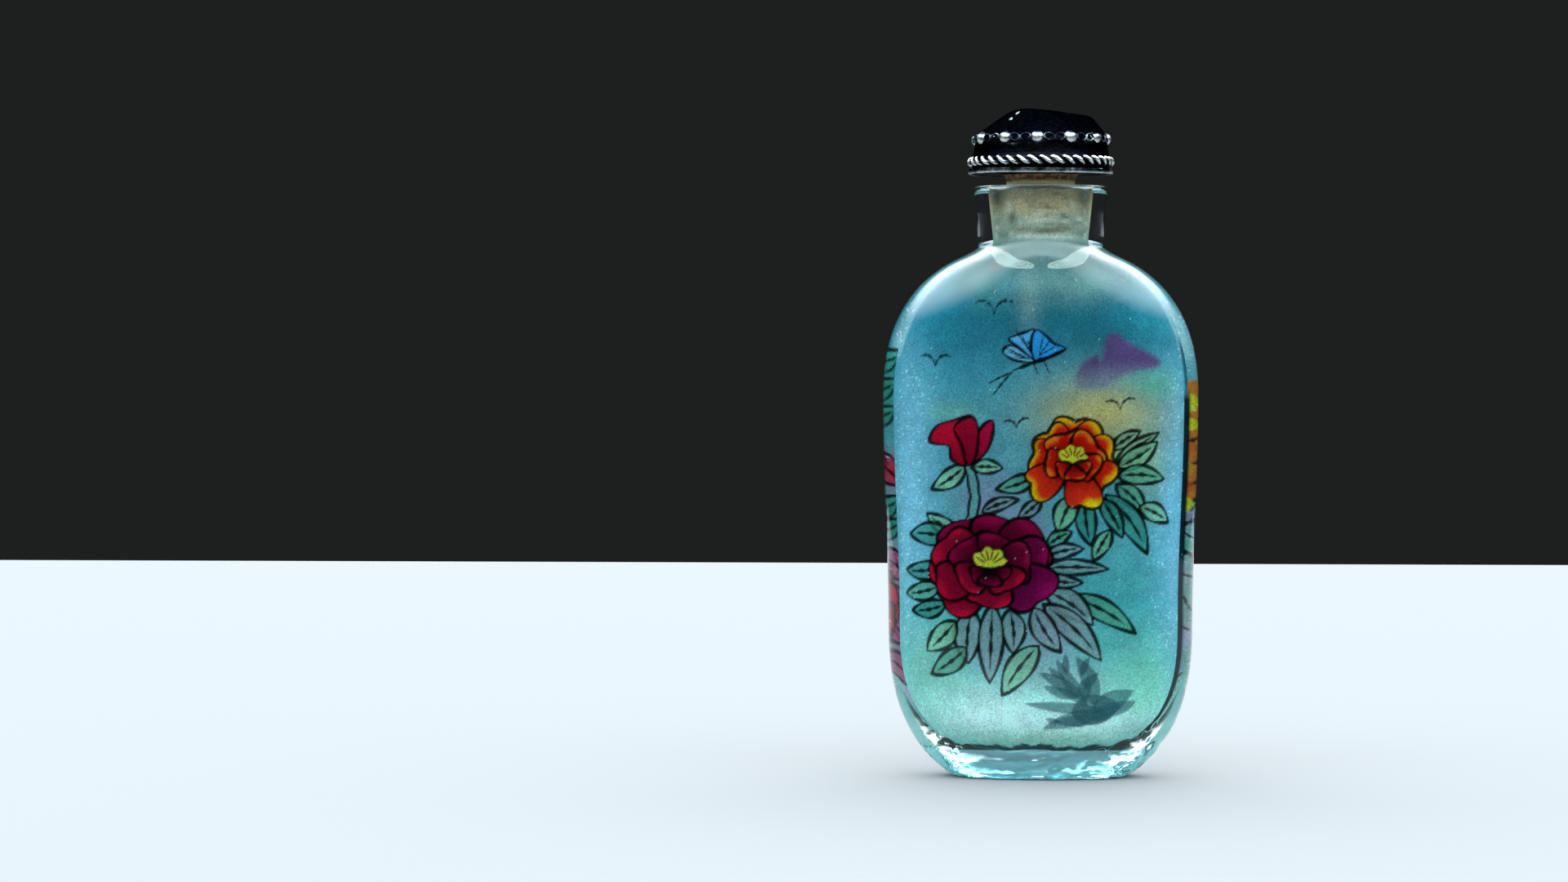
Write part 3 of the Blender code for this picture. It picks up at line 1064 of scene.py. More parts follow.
def petal_outline(length: float, width: float, lobes: int, frill: float) -> np.ndarray:
    """A petal along +X from zero: narrow at its base, broad and frilled at its end.

    Args:
        length: From base to end.
        width: Across its middle.
        lobes: How many frills its end has.
        frill: How deep they are, as a share.

    Returns:
        The outline.
    """
    turn = np.linspace(-math.pi, math.pi, 44, endpoint=False)
    open_end = 0.5 + 0.5 * np.cos(turn)
    wave = np.abs(np.sin(lobes * turn / 2 + 0.4)) * frill * open_end
    along = length * open_end * (1.0 - frill * 0.6 + wave)
    aside = width / 2 * np.sin(turn) * (0.78 + 0.42 * np.cos(turn)) * (1.0 + wave)
    return np.stack([along, aside], axis=1)


def leaf_outline(length: float, width: float, bend: float) -> tuple[np.ndarray, np.ndarray]:
    """A pointed leaf along +X from zero, and its midrib.

    Args:
        length: From stalk to tip.
        width: Across its middle.
        bend: How far the middle bows to the left of the line, in millimetres.

    Returns:
        The outline and the midrib's points.
    """
    share = np.linspace(0.0, 1.0, 13)
    bow = bend * 4.0 * share * (1.0 - share)
    half = width / 2 * np.sin(math.pi * share**0.85) ** 0.8
    upper = np.stack([length * share, bow + half], axis=1)
    lower = np.stack([length * share, bow - half], axis=1)[::-1][1:-1]
    rib = np.stack([length * share[1:-2], bow[1:-2]], axis=1)
    return np.concatenate([upper, lower]), rib


@dataclass(frozen=True)
class Leaf:
    """One painted leaf: where it grows from and where it points."""

    base: Pair
    tip: Pair
    width: float
    tone: str = "#5FA79A"
    bend: float = 0.25

    def paint(self, canvas: Canvas, outlined: bool = True) -> None:
        """Fills the leaf, then inks its edge and midrib.

        Args:
            canvas: The wall's paint.
            outlined: Whether it has ink lines, as near leaves do.
        """
        run = np.array(self.tip) - np.array(self.base)
        length = float(np.hypot(*run))
        degrees = math.degrees(math.atan2(run[1], run[0]))
        outline, rib = leaf_outline(length, self.width, self.bend)
        axis = run / length
        deep = np.array(linear(self.tone)) * 0.75
        light = np.array(linear(self.tone)) * 1.08

        def tones(index: np.ndarray) -> np.ndarray:
            """Darker at the stalk and lighter towards the tip."""
            x, y = canvas.across[index] - self.base[0], canvas.up[index] - self.base[1]
            along = x * axis[0] + y * axis[1]
            share = smooth(0.0, 0.75, along / length)[:, None]
            return 0.28 * canvas.colour[index] + 0.72 * (deep + (light - deep) * share)

        canvas.fill(turned(outline, degrees, self.base), tones)
        if outlined:
            canvas.line(turned(outline, degrees, self.base), 0.40, closed=True)
            canvas.line(turned(rib, degrees, self.base), 0.44, taper=0.85)


@dataclass(frozen=True)
class Petals:
    """A ring of petals of a blossom, painted from the back ones to the front ones."""

    turns: tuple[float, ...]
    length: float
    width: float
    tones: tuple[str, str, str]
    stand: float = 0.0
    lobes: int = 5
    frill: float = 0.17
    stretch: tuple[float, ...] = ()

    def paint(self, canvas: Canvas, centre: Pair, squash: float) -> None:
        """Paints the ring round a blossom's heart.

        Args:
            canvas: The wall's paint.
            centre: The heart.
            squash: Height of the blossom as a share of its width.
        """
        heart, face, edge = (np.array(linear(tone)) for tone in self.tones)
        for number, degrees in enumerate(self.turns):
            longer = self.stretch[number] if number < len(self.stretch) else 1.0
            outline = petal_outline(self.length * longer, self.width, self.lobes, self.frill)
            turn = math.radians(degrees)
            base = (self.stand * math.cos(turn), self.stand * math.sin(turn))
            placed = turned(outline, degrees, base) * np.array((1.0, squash)) + np.array(centre)

            def tones(index: np.ndarray, reach: float = self.length * longer,
                      way: float = turn) -> np.ndarray:
                """Deep at the heart, clear on the face and lighter at the frilled edge."""
                x = canvas.across[index] - centre[0]
                y = (canvas.up[index] - centre[1]) / squash
                share = (np.hypot(x, y) - self.stand) / reach
                side = np.abs(np.sin(np.arctan2(y, x) - way)) * 0.35
                low = smooth(0.20, 0.85, share - side * 0.4)[:, None]
                high = smooth(0.78, 1.0, share + 0.06 * np.sin(9.0 * np.arctan2(y, x)))[:, None]
                return (heart + (face - heart) * low) * (1 - high) + edge * high

            canvas.fill(placed, tones)
            canvas.line(placed, 0.37, closed=True)


@dataclass(frozen=True)
class Blossom:
    """A peony: rings of petals round a fan of stamens."""

    centre: Pair
    rings: tuple[Petals, ...]
    front: Petals
    stamen_reach: float
    stamen_tone: str = "#E9E23A"
    squash: float = 0.95

    def paint(self, canvas: Canvas) -> None:
        """Paints the rings, then the stamens, then the front petals over their feet.

        Args:
            canvas: The wall's paint.
        """
        for ring in self.rings:
            ring.paint(canvas, self.centre, self.squash)
        self.paint_stamens(canvas)
        self.front.paint(canvas, (self.centre[0], self.centre[1] - 0.25 * self.stamen_reach), self.squash)

    def paint_stamens(self, canvas: Canvas) -> None:
        """Fans out the yellow stamens with ink between them.

        Args:
            canvas: The wall's paint.
        """
        tone = np.array(linear(self.stamen_tone))
        fan = []
        for degrees in np.linspace(165.0, 15.0, 15):
            turn = math.radians(degrees)
            reach = self.stamen_reach * (1.0 + 0.10 * math.sin(degrees * 0.45))
            fan.append((self.centre[0] + reach * math.cos(turn), self.centre[1] + reach * math.sin(turn)))
        fan.append((self.centre[0] + 0.55 * self.stamen_reach, self.centre[1] - 0.25 * self.stamen_reach))
        fan.append((self.centre[0] - 0.55 * self.stamen_reach, self.centre[1] - 0.25 * self.stamen_reach))
        outline = np.array(fan)
        canvas.fill(outline, lambda index: np.tile(tone, (len(index), 1)))
        canvas.line(outline, 0.14, closed=True, strength=0.7)
        for degrees in np.linspace(148.0, 32.0, 6):
            turn = math.radians(degrees)
            ray = np.array((math.cos(turn), math.sin(turn)))
            ends = [np.array(self.centre) + ray * self.stamen_reach * share for share in (0.35, 0.88)]
            canvas.line(np.array(ends), 0.20, taper=0.3)


def paint_bird(canvas: Canvas, centre: Pair, span: float, dip: float) -> None:
    """Two short wing strokes of a far bird.

    Args:
        canvas: The wall's paint.
        centre: Where the wings meet.
        span: From tip to tip.
        dip: How much lower the left wing's tip is than the right one's.
    """
    share = np.linspace(0.0, 1.0, 9)
    lift = span * (0.62 * share**0.55 - 0.30 * share**2)
    for way in (-1.0, 1.0):
        wing = np.stack([centre[0] + way * span / 2 * share, centre[1] + lift + way * dip * share], axis=1)
        canvas.line(wing, 0.32, taper=0.7, hex_colour="#0B2732")


def paint_butterfly(canvas: Canvas, centre: Pair, size: float, degrees: float) -> None:
    """A butterfly seen from the side: three wings, a slim body and two feelers.

    Args:
        canvas: The wall's paint.
        centre: The root of its wings.
        size: Height of the tall wing.
        degrees: Turn of its body.
    """
    # Outlines as shares of the size, from the root of the wings.
    tall = ((0.0, 0.0), (-0.12, 0.55), (0.06, 1.02), (0.40, 0.80), (0.62, 0.55), (0.98, 0.34), (0.45, 0.10))
    middle = ((-0.03, 0.05), (-0.42, 0.40), (-0.82, 0.78), (-0.55, 0.90), (-0.25, 0.98), (0.02, 1.02),
              (-0.10, 0.5))
    lower = ((-0.05, 0.0), (-0.60, 0.06), (-0.98, 0.28), (-1.02, 0.46), (-0.78, 0.58), (-0.40, 0.38))
    for points, tone in ((lower, "#6FBCE4"), (middle, "#57B1EA"), (tall, "#2FA0EA")):
        outline = turned(rounded(points) * size, degrees, centre)
        shade = np.array(linear(tone))
        canvas.fill(outline, lambda index, shade=shade: np.tile(shade, (len(index), 1)))
        canvas.line(outline, 0.32, closed=True)
        middle_point = np.array(points).mean(axis=0)
        for bow in (-0.16, 0.02, 0.20):
            vein = np.array((middle_point * 0.35, middle_point * 1.35 + np.array((bow, -bow)))) * size
            canvas.line(turned(vein, degrees, centre), 0.15, taper=0.5)
    body = np.array(((-0.75, -0.24), (-0.30, -0.10), (0.30, 0.08), (1.02, 0.34))) * size
    canvas.line(turned(body, degrees, centre), 0.50, taper=0.7)
    for x, y in ((-1.55, -0.60), (-1.45, -0.98)):
        feeler = np.array(((-0.80, -0.30), (0.5 * (x - 0.80), 0.5 * (y - 0.26)), (x, y))) * size
        canvas.line(turned(feeler, degrees, centre), 0.22, taper=0.5)
    for x in (0.05, 0.42):
        leg = np.array(((x - 0.15, 0.0), (x, -0.42))) * size
        canvas.line(turned(leg, degrees, centre), 0.18, taper=0.5)


# Petal colours are given as heart, face and edge.
ORANGE = ("#86080A", "#D4220E", "#F8C81A")
RED_HEART = ("#7E080A", "#CC1A0E", "#F2801A")
GOLD_TIPS = ("#9C0C0A", "#E2341A", "#F8F214")
MAROON = ("#1A000C", "#66052C", "#8E0A40")
CRIMSON = ("#260210", "#8A0A2E", "#C41238")
MAGENTA = ("#26021A", "#74094A", "#9A0F64")
WINE = ("#200216", "#660638", "#8A0C50")
PALE_GREEN = "#8FD9AE"
LEAF_GREEN = "#57B08F"
DEEP_GREEN = "#2F8D7C"
GREY_GREEN = "#86A8B0"
SHADE_TEAL = "#125661"
EDGE_SHADE = "#02141B"
PAINTED_EDGE_GLOW = "#9CCBD6"


def orange_blossom(centre: Pair, size: float) -> Blossom:
    """An orange-red peony with gold edges.

    Args:
        centre: Its heart.
        size: Its radius in millimetres.

    Returns:
        The blossom.
    """
    back = Petals((92, 136, 48), size, size * 1.02, ORANGE, lobes=5, stretch=(1.02, 0.95, 1.0))
    sides = Petals((176, 14), size * 0.96, size * 0.98, ORANGE, lobes=4)
    lower = Petals((-32,), size * 1.02, size * 0.92, ORANGE, lobes=3)
    tips = Petals((217, -74), size * 1.14, size * 0.84, GOLD_TIPS, lobes=3, frill=0.20, stretch=(1.08, 1.06))
    inner = Petals((112, 42), size * 0.70, size * 1.0, RED_HEART, lobes=4)
    curled = Petals((186, -22), size * 0.64, size * 0.72, RED_HEART, lobes=2)
    front = Petals((-28, 212, -80), size * 0.40, size * 0.50, RED_HEART, lobes=2)
    return Blossom(centre, (back, sides, lower, tips, inner, curled), front, size * 0.34)


def maroon_blossom(centre: Pair, size: float) -> Blossom:
    """A broad dark peony with crimson faces and magenta lower petals.

    Args:
        centre: Its heart.
        size: Its radius in millimetres.

    Returns:
        The blossom.
    """
    back = Petals((118, 72, 34), size * 0.98, size * 1.16, MAROON, lobes=3, frill=0.12,
                  stretch=(1.04, 0.98, 1.10))
    right = Petals((10,), size * 1.0, size * 0.98, WINE, lobes=3, frill=0.12)
    left = Petals((178, 152), size * 1.0, size * 0.98, CRIMSON, lobes=3, frill=0.12, stretch=(1.0, 0.96))
    lower = Petals((-34,), size * 1.16, size * 1.06, MAGENTA, lobes=3, frill=0.14)
    foot = Petals((-128, -92, 206), size * 1.02, size * 0.82, CRIMSON, lobes=2, stretch=(1.14, 0.84, 0.98))
    inner = Petals((134, 64, 8), size * 0.66, size * 0.92, MAROON, lobes=3, frill=0.12,
                   stretch=(1.0, 0.92, 1.05))
    curled = Petals((216, -48), size * 0.62, size * 0.72, CRIMSON, lobes=2)
    front = Petals((-30, 210, -90), size * 0.34, size * 0.42, MAROON, lobes=2)
    rings = (back, right, left, lower, foot, inner, curled)
    return Blossom(centre, rings, front, size * 0.29, "#D9DF45", 0.84)


def paint_bud(canvas: Canvas, foot: Pair, size: float) -> None:
    """A crimson bud: three upright petals, the left one curled outwards.

    Args:
        canvas: The wall's paint.
        foot: Where it joins its stalk.
        size: Its height.
    """
    curled = ((0.0, 0.0), (-0.30, 0.10), (-0.36, 0.38), (-0.58, 0.42), (-0.78, 0.50), (-0.62, 0.80),
              (-0.28, 0.92), (0.06, 0.98), (0.02, 0.55))
    middle = ((0.0, 0.0), (-0.10, 0.40), (-0.26, 0.76), (0.02, 1.0), (0.20, 0.90), (0.24, 0.50), (0.16, 0.10))
    slim = ((0.10, 0.04), (0.16, 0.40), (0.30, 0.78), (0.52, 0.92), (0.54, 0.66), (0.40, 0.26))
    for points, tone in ((curled, "#B31030"), (slim, "#A60F3A"), (middle, "#8E0A2A")):
        outline = np.array(rounded(points)) * size + np.array(foot)
        light = np.array(linear(tone))

        def tones(index: np.ndarray, light: np.ndarray = light) -> np.ndarray:
            """Lighter towards the bud's open end."""
            share = smooth(-0.1, 0.9, (canvas.up[index] - foot[1]) / size)[:, None]
            return light * (0.65 + 0.55 * share)

        canvas.fill(outline, tones)
        canvas.line(outline, 0.36, closed=True)


def paint_stalk(canvas: Canvas, points: Sequence[Pair], width: float) -> None:
    """A green stalk with inked sides.

    Args:
        canvas: The wall's paint.
        points: Its middle line.
        width: Its width.
    """
    canvas.line(np.array(points), width + 0.40, pulse=0.06)
    canvas.line(np.array(points), width - 0.30, hex_colour="#62A8AC", strength=1.0, pulse=0.08)


def paint_front(canvas: Canvas) -> None:
    """Paints the front: a hazy sky, a far peak, birds, a butterfly, a bud and two peonies.

    Args:
        canvas: The front wall's paint.
    """
    # The wash is lighter towards the bottom: painted light, as if light came up through the glass from below.
    canvas.coat((
        (3.8, "#D2FFF6"), (5.2, "#CCFFF2"), (7.5, "#D2FFFF"), (10.0, "#A9F2EA"), (14.0, "#70DAD4"),
        (21.0, "#4FC0C6"), (28.0, "#5CBCCB"), (35.0, "#5AB0C0"), (43.0, "#4FA9BC"), (48.0, "#42A0B6"),
        (51.5, "#2C8398"), (55.0, "#1F7488"), (57.5, "#43858F"), (60.5, "#5F9497"), (63.4, "#86B0A8"),
        (64.4, "#C6DED2"), (65.1, "#A2B29C"), (66.0, "#96A898"), (67.0, "#AAB49C"), (68.0, "#C2B68E"),
        (69.0, "#DCCBA0"), (70.4, "#C9C2A6"),
    ))
    # The pale-blue dabs along both side edges and the pale dabs at the lower corners and the bottom are
    # painted light.
    for x, y, wide, high, tone, strength in (
        (0.0, 31.0, 40.0, 20.0, "#69B4C4", 0.15), (-15.5, 33.0, 3.2, 19.0, "#8AD8F6", 0.90),
        (16.2, 30.0, 2.8, 20.0, "#84D6F8", 0.90), (-13.5, 12.0, 4.0, 7.0, "#8CE8D4", 0.60),
        (-13.0, 12.0, 3.5, 6.0, "#86D6C4", 0.60), (12.5, 11.0, 4.0, 5.0, "#7CE0BC", 0.60),
        (-6.0, 9.0, 6.0, 2.6, "#D6FFFF", 0.60), (9.0, 53.5, 5.5, 3.2, "#1F6B7F", 0.65),
        (-9.0, 54.5, 4.5, 2.6, "#2B7384", 0.55), (-8.0, 58.8, 3.0, 1.8, "#8DBBA6", 0.40),
        (5.0, 58.4, 5.0, 1.8, "#8CB09E", 0.40), (-10.5, 60.0, 4.2, 4.0, "#14606E", 0.60),
        (10.5, 60.0, 4.2, 4.0, "#14606E", 0.55), (-13.5, 55.5, 5.5, 5.5, "#1F7F96", 0.75),
        (13.5, 55.0, 5.5, 5.5, "#2A8698", 0.75), (-1.3, 57.5, 1.3, 4.2, "#93B7B4", 0.50),
        (-6.0, 33.5, 4.0, 3.6, "#8F8FB2", 0.60), (-1.5, 30.5, 3.5, 2.6, "#9A93B4", 0.45),
        (1.0, 17.8, 3.2, 3.4, "#B3A6CC", 0.70), (-5.5, 15.5, 4.0, 3.0, "#9FA6C4", 0.45),
        (2.5, 12.6, 4.0, 1.8, "#B9CFE2", 0.50), (7.0, 43.6, 7.2, 4.0, "#CBC47A", 0.95),
        (12.2, 37.5, 2.6, 4.0, "#A9C98A", 0.60), (9.8, 38.8, 1.6, 1.8, "#B6E83A", 0.55),
        (-10.0, 43.6, 3.0, 1.4, "#8DD2B4", 0.50), (13.4, 47.0, 2.6, 1.8, "#66C8AC", 0.70),
        (0.0, 5.2, 8.0, 0.8, "#83BE92", 0.45), (-4.4, 64.6, 1.6, 0.9, "#3F6A62", 0.70),
        (4.6, 64.8, 1.2, 0.9, "#5A7F74", 0.60), (0.8, 65.3, 1.7, 0.35, "#5C4A2A", 0.75),
        (-1.8, 65.5, 0.9, 0.3, "#6B5C3C", 0.60), (2.6, 65.6, 0.8, 0.25, "#6B6040", 0.60),
        (-5.2, 69.4, 1.5, 2.2, "#48625A", 0.80), (5.2, 69.2, 1.4, 2.0, "#56706A", 0.75),
        (-3.0, 66.9, 0.5, 0.9, "#33524E", 0.80), (-3.4, 68.2, 0.3, 0.7, "#DCE6D8", 0.55),
        (2.6, 67.0, 0.7, 0.4, "#4B5F55", 0.65), (3.4, 68.4, 0.4, 0.3, "#E4EEE0", 0.60),
        (0.2, 66.5, 1.3, 0.30, "#DDE4D4", 0.60), (-1.2, 67.4, 1.0, 0.25, "#B9A67E", 0.60),
        (1.0, 68.0, 1.2, 0.20, "#8E866A", 0.55), (-0.4, 68.9, 1.5, 0.22, "#EFE2BC", 0.55),
        (-5.4, 60.4, 0.25, 0.5, "#A3242B", 0.90),
    ):
        canvas.dab((x, y), (wide, high), tone, strength)
    canvas.blotches(5, 6.2, (64.6, 70.0), ("#33524E", "#E6EEDF", "#7A6A48", "#DCEAE0"), 60)
    # Painted glints: pale specks, with some mint ones, over the lowest wash.
    canvas.blotches(6, 13.0, (4.6, 9.0), ("#F4FFFF", "#8ED8B8", "#F4FFFF"), 60)
    # Painted light: a pale glow along both side edges of the upper wash.
    canvas.border(PAINTED_EDGE_GLOW, 0.93, 0.96, (50.0, 60.0), 0.60)
    # Painted shade: a dark band along the right edge, and a dark teal one above it.
    canvas.border(EDGE_SHADE, 0.940, 0.955, (3.0, 46.0), 0.97, side=1.0)
    canvas.border("#1C5A68", 0.950, 0.965, (46.0, 51.5), 0.90, side=1.0)
    # Painted shade: a dark wavy line along the paint's lower edge.
    across = np.linspace(-11, 11, 60)
    rim = np.stack([across, 4.15 + 0.12 * np.sin(across * 2.3) + 0.06 * np.sin(across * 6.1)], axis=1)
    canvas.line(rim, 0.75, hex_colour="#062731", strength=0.92)
    ridge = rounded(((4.2, 46.9), (4.8, 49.3), (6.5, 50.4), (7.1, 49.9), (7.6, 52.3), (8.6, 53.0),
                     (10.4, 51.8), (14.0, 49.8), (13.4, 48.9), (10.2, 48.3), (7.4, 46.6)), 6)
    purple, haze = np.array(linear("#5F4E84")), np.array(linear("#7F8FA0"))

    def ridge_tones(index: np.ndarray) -> np.ndarray:
        """Purple above, lost in haze below."""
        share = smooth(46.8, 50.2, canvas.up[index])[:, None]
        return haze + (purple - haze) * share

    canvas.fill(ridge, ridge_tones, soft=0.45)
    for centre, span, dip in (((-5.4, 55.2), 4.3, 0.1), ((-12.3, 49.1), 3.6, 0.0), ((9.3, 44.0), 3.4, 0.2),
                              ((-2.8, 41.8), 3.0, 0.2)):
        paint_bird(canvas, centre, span, dip)
    paint_butterfly(canvas, (-0.55, 49.7), 3.6, 4.0)
    paint_stalk(canvas, ((-8.5, 38.2), (-7.9, 35.8), (-7.6, 33.6), (-8.0, 31.0)), 1.05)
    for leaf in (
        Leaf((-8.8, 37.4), (-12.7, 34.6), 2.2, PALE_GREEN),
        Leaf((-8.0, 37.2), (-4.4, 37.1), 1.7, PALE_GREEN, 0.15),
        Leaf((-6.8, 31.9), (-2.6, 33.4), 1.5, GREY_GREEN),
        Leaf((0.1, 33.4), (-2.6, 31.2), 1.6, GREY_GREEN, 0.1),
        Leaf((-0.6, 36.2), (-5.1, 34.6), 2.0, LEAF_GREEN),
        Leaf((8.4, 39.4), (11.6, 41.5), 1.6, "#7FA98C", 0.1),
        Leaf((8.8, 37.8), (13.9, 41.3), 1.5, "#86B79A", 0.15),
        Leaf((9.0, 37.2), (13.7, 40.2), 2.3, "#7FC39A", -0.2),
        Leaf((9.0, 36.2), (14.6, 35.8), 2.3, LEAF_GREEN, 0.35),
        Leaf((8.9, 35.2), (12.2, 31.8), 2.2, LEAF_GREEN, 0.3),
        Leaf((11.6, 32.6), (15.2, 30.7), 2.2, PALE_GREEN, 0.2),
        Leaf((7.6, 34.0), (12.5, 27.0), 2.8, DEEP_GREEN, 0.6),
        Leaf((7.0, 33.6), (9.6, 28.9), 2.0, DEEP_GREEN, 0.2),
        Leaf((5.2, 33.6), (5.9, 28.0), 2.4, DEEP_GREEN, -0.2),
        Leaf((4.0, 33.9), (2.1, 29.4), 2.7, "#7CCB98", -0.2),
        Leaf((8.2, 29.8), (6.2, 26.2), 1.9, "#7CCB98", -0.1),
        Leaf((-9.6, 29.6), (-13.3, 31.7), 1.9, PALE_GREEN),
        Leaf((-10.6, 28.8), (-15.6, 29.2), 2.7, DEEP_GREEN, -0.3),
        Leaf((-11.4, 25.4), (-16.3, 24.9), 2.2, DEEP_GREEN, 0.3),
        Leaf((-11.6, 23.2), (-16.4, 22.1), 2.2, LEAF_GREEN, 0.3),
        Leaf((-11.0, 21.0), (-15.3, 20.1), 2.1, DEEP_GREEN, 0.3),
        Leaf((0.8, 27.9), (3.7, 29.6), 1.7, LEAF_GREEN, 0.2),
        Leaf((0.6, 26.6), (5.1, 27.6), 1.7, GREY_GREEN, 0.3),
        Leaf((0.4, 25.3), (8.0, 25.2), 1.8, GREY_GREEN, 0.2),
        Leaf((0.2, 24.2), (5.0, 23.6), 1.6, GREY_GREEN, -0.2),
        Leaf((3.4, 22.0), (11.1, 17.6), 2.6, LEAF_GREEN, 0.5),
        Leaf((0.6, 22.6), (6.2, 18.6), 3.0, GREY_GREEN, 0.5),
        Leaf((0.4, 21.0), (7.1, 14.4), 3.0, GREY_GREEN, 0.5),
        Leaf((-0.8, 20.6), (2.4, 15.4), 2.8, GREY_GREEN, -0.3),
        Leaf((-8.0, 20.3), (-8.4, 14.0), 3.2, GREY_GREEN, -0.3),
        Leaf((-3.6, 20.4), (-3.2, 15.2), 2.8, GREY_GREEN, 0.3),
        Leaf((-5.6, 21.0), (-5.9, 11.7), 2.9, GREY_GREEN, 0.0),
        Leaf((-9.9, 18.9), (-13.3, 15.4), 2.7, PALE_GREEN, 0.2),
        Leaf((-8.6, 15.8), (-12.7, 12.7), 2.6, LEAF_GREEN, 0.2),
        Leaf((-0.2, 16.1), (-4.4, 10.3), 3.0, PALE_GREEN, -0.3),
    ):
        leaf.paint(canvas)
    orange_blossom((3.8, 38.0), 5.3).paint(canvas)
    paint_bud(canvas, (-8.6, 37.5), 5.7)
    maroon_blossom((-5.9, 25.6), 7.2).paint(canvas)
    for base, tip, width, bend in (
        ((7.6, 8.6), (-1.9, 9.3), 1.3, 0.1),
        ((5.6, 9.0), (-0.2, 13.0), 1.7, -0.4),
        ((4.6, 10.2), (0.4, 11.4), 1.3, 0.2),
        ((5.6, 9.4), (1.9, 14.6), 1.6, 0.3),
        ((6.4, 9.0), (4.2, 14.9), 2.1, -0.5),
        ((5.4, 9.8), (5.6, 12.6), 1.5, 0.3),
        ((6.0, 7.4), (10.9, 10.9), 2.6, 0.4),
        ((6.6, 8.4), (11.2, 9.6), 1.6, -0.2),
        ((8.4, 7.8), (0.2, 6.3), 1.9, -0.5),
        ((6.4, 7.9), (1.6, 7.3), 1.4, 0.3),
        ((3.6, 8.2), (9.4, 9.2), 3.6, 0.0),
        ((2.9, 12.2), (1.0, 13.6), 0.8, 0.1),
        ((3.2, 12.8), (3.0, 15.2), 0.9, 0.1),
        ((4.8, 12.6), (5.8, 14.8), 0.9, 0.1),
        ((5.2, 11.0), (6.8, 13.0), 1.0, 0.1),
        ((2.4, 7.2), (0.6, 7.6), 0.7, 0.1),
    ):
        Leaf(base, tip, width, SHADE_TEAL, bend).paint(canvas, outlined=False)


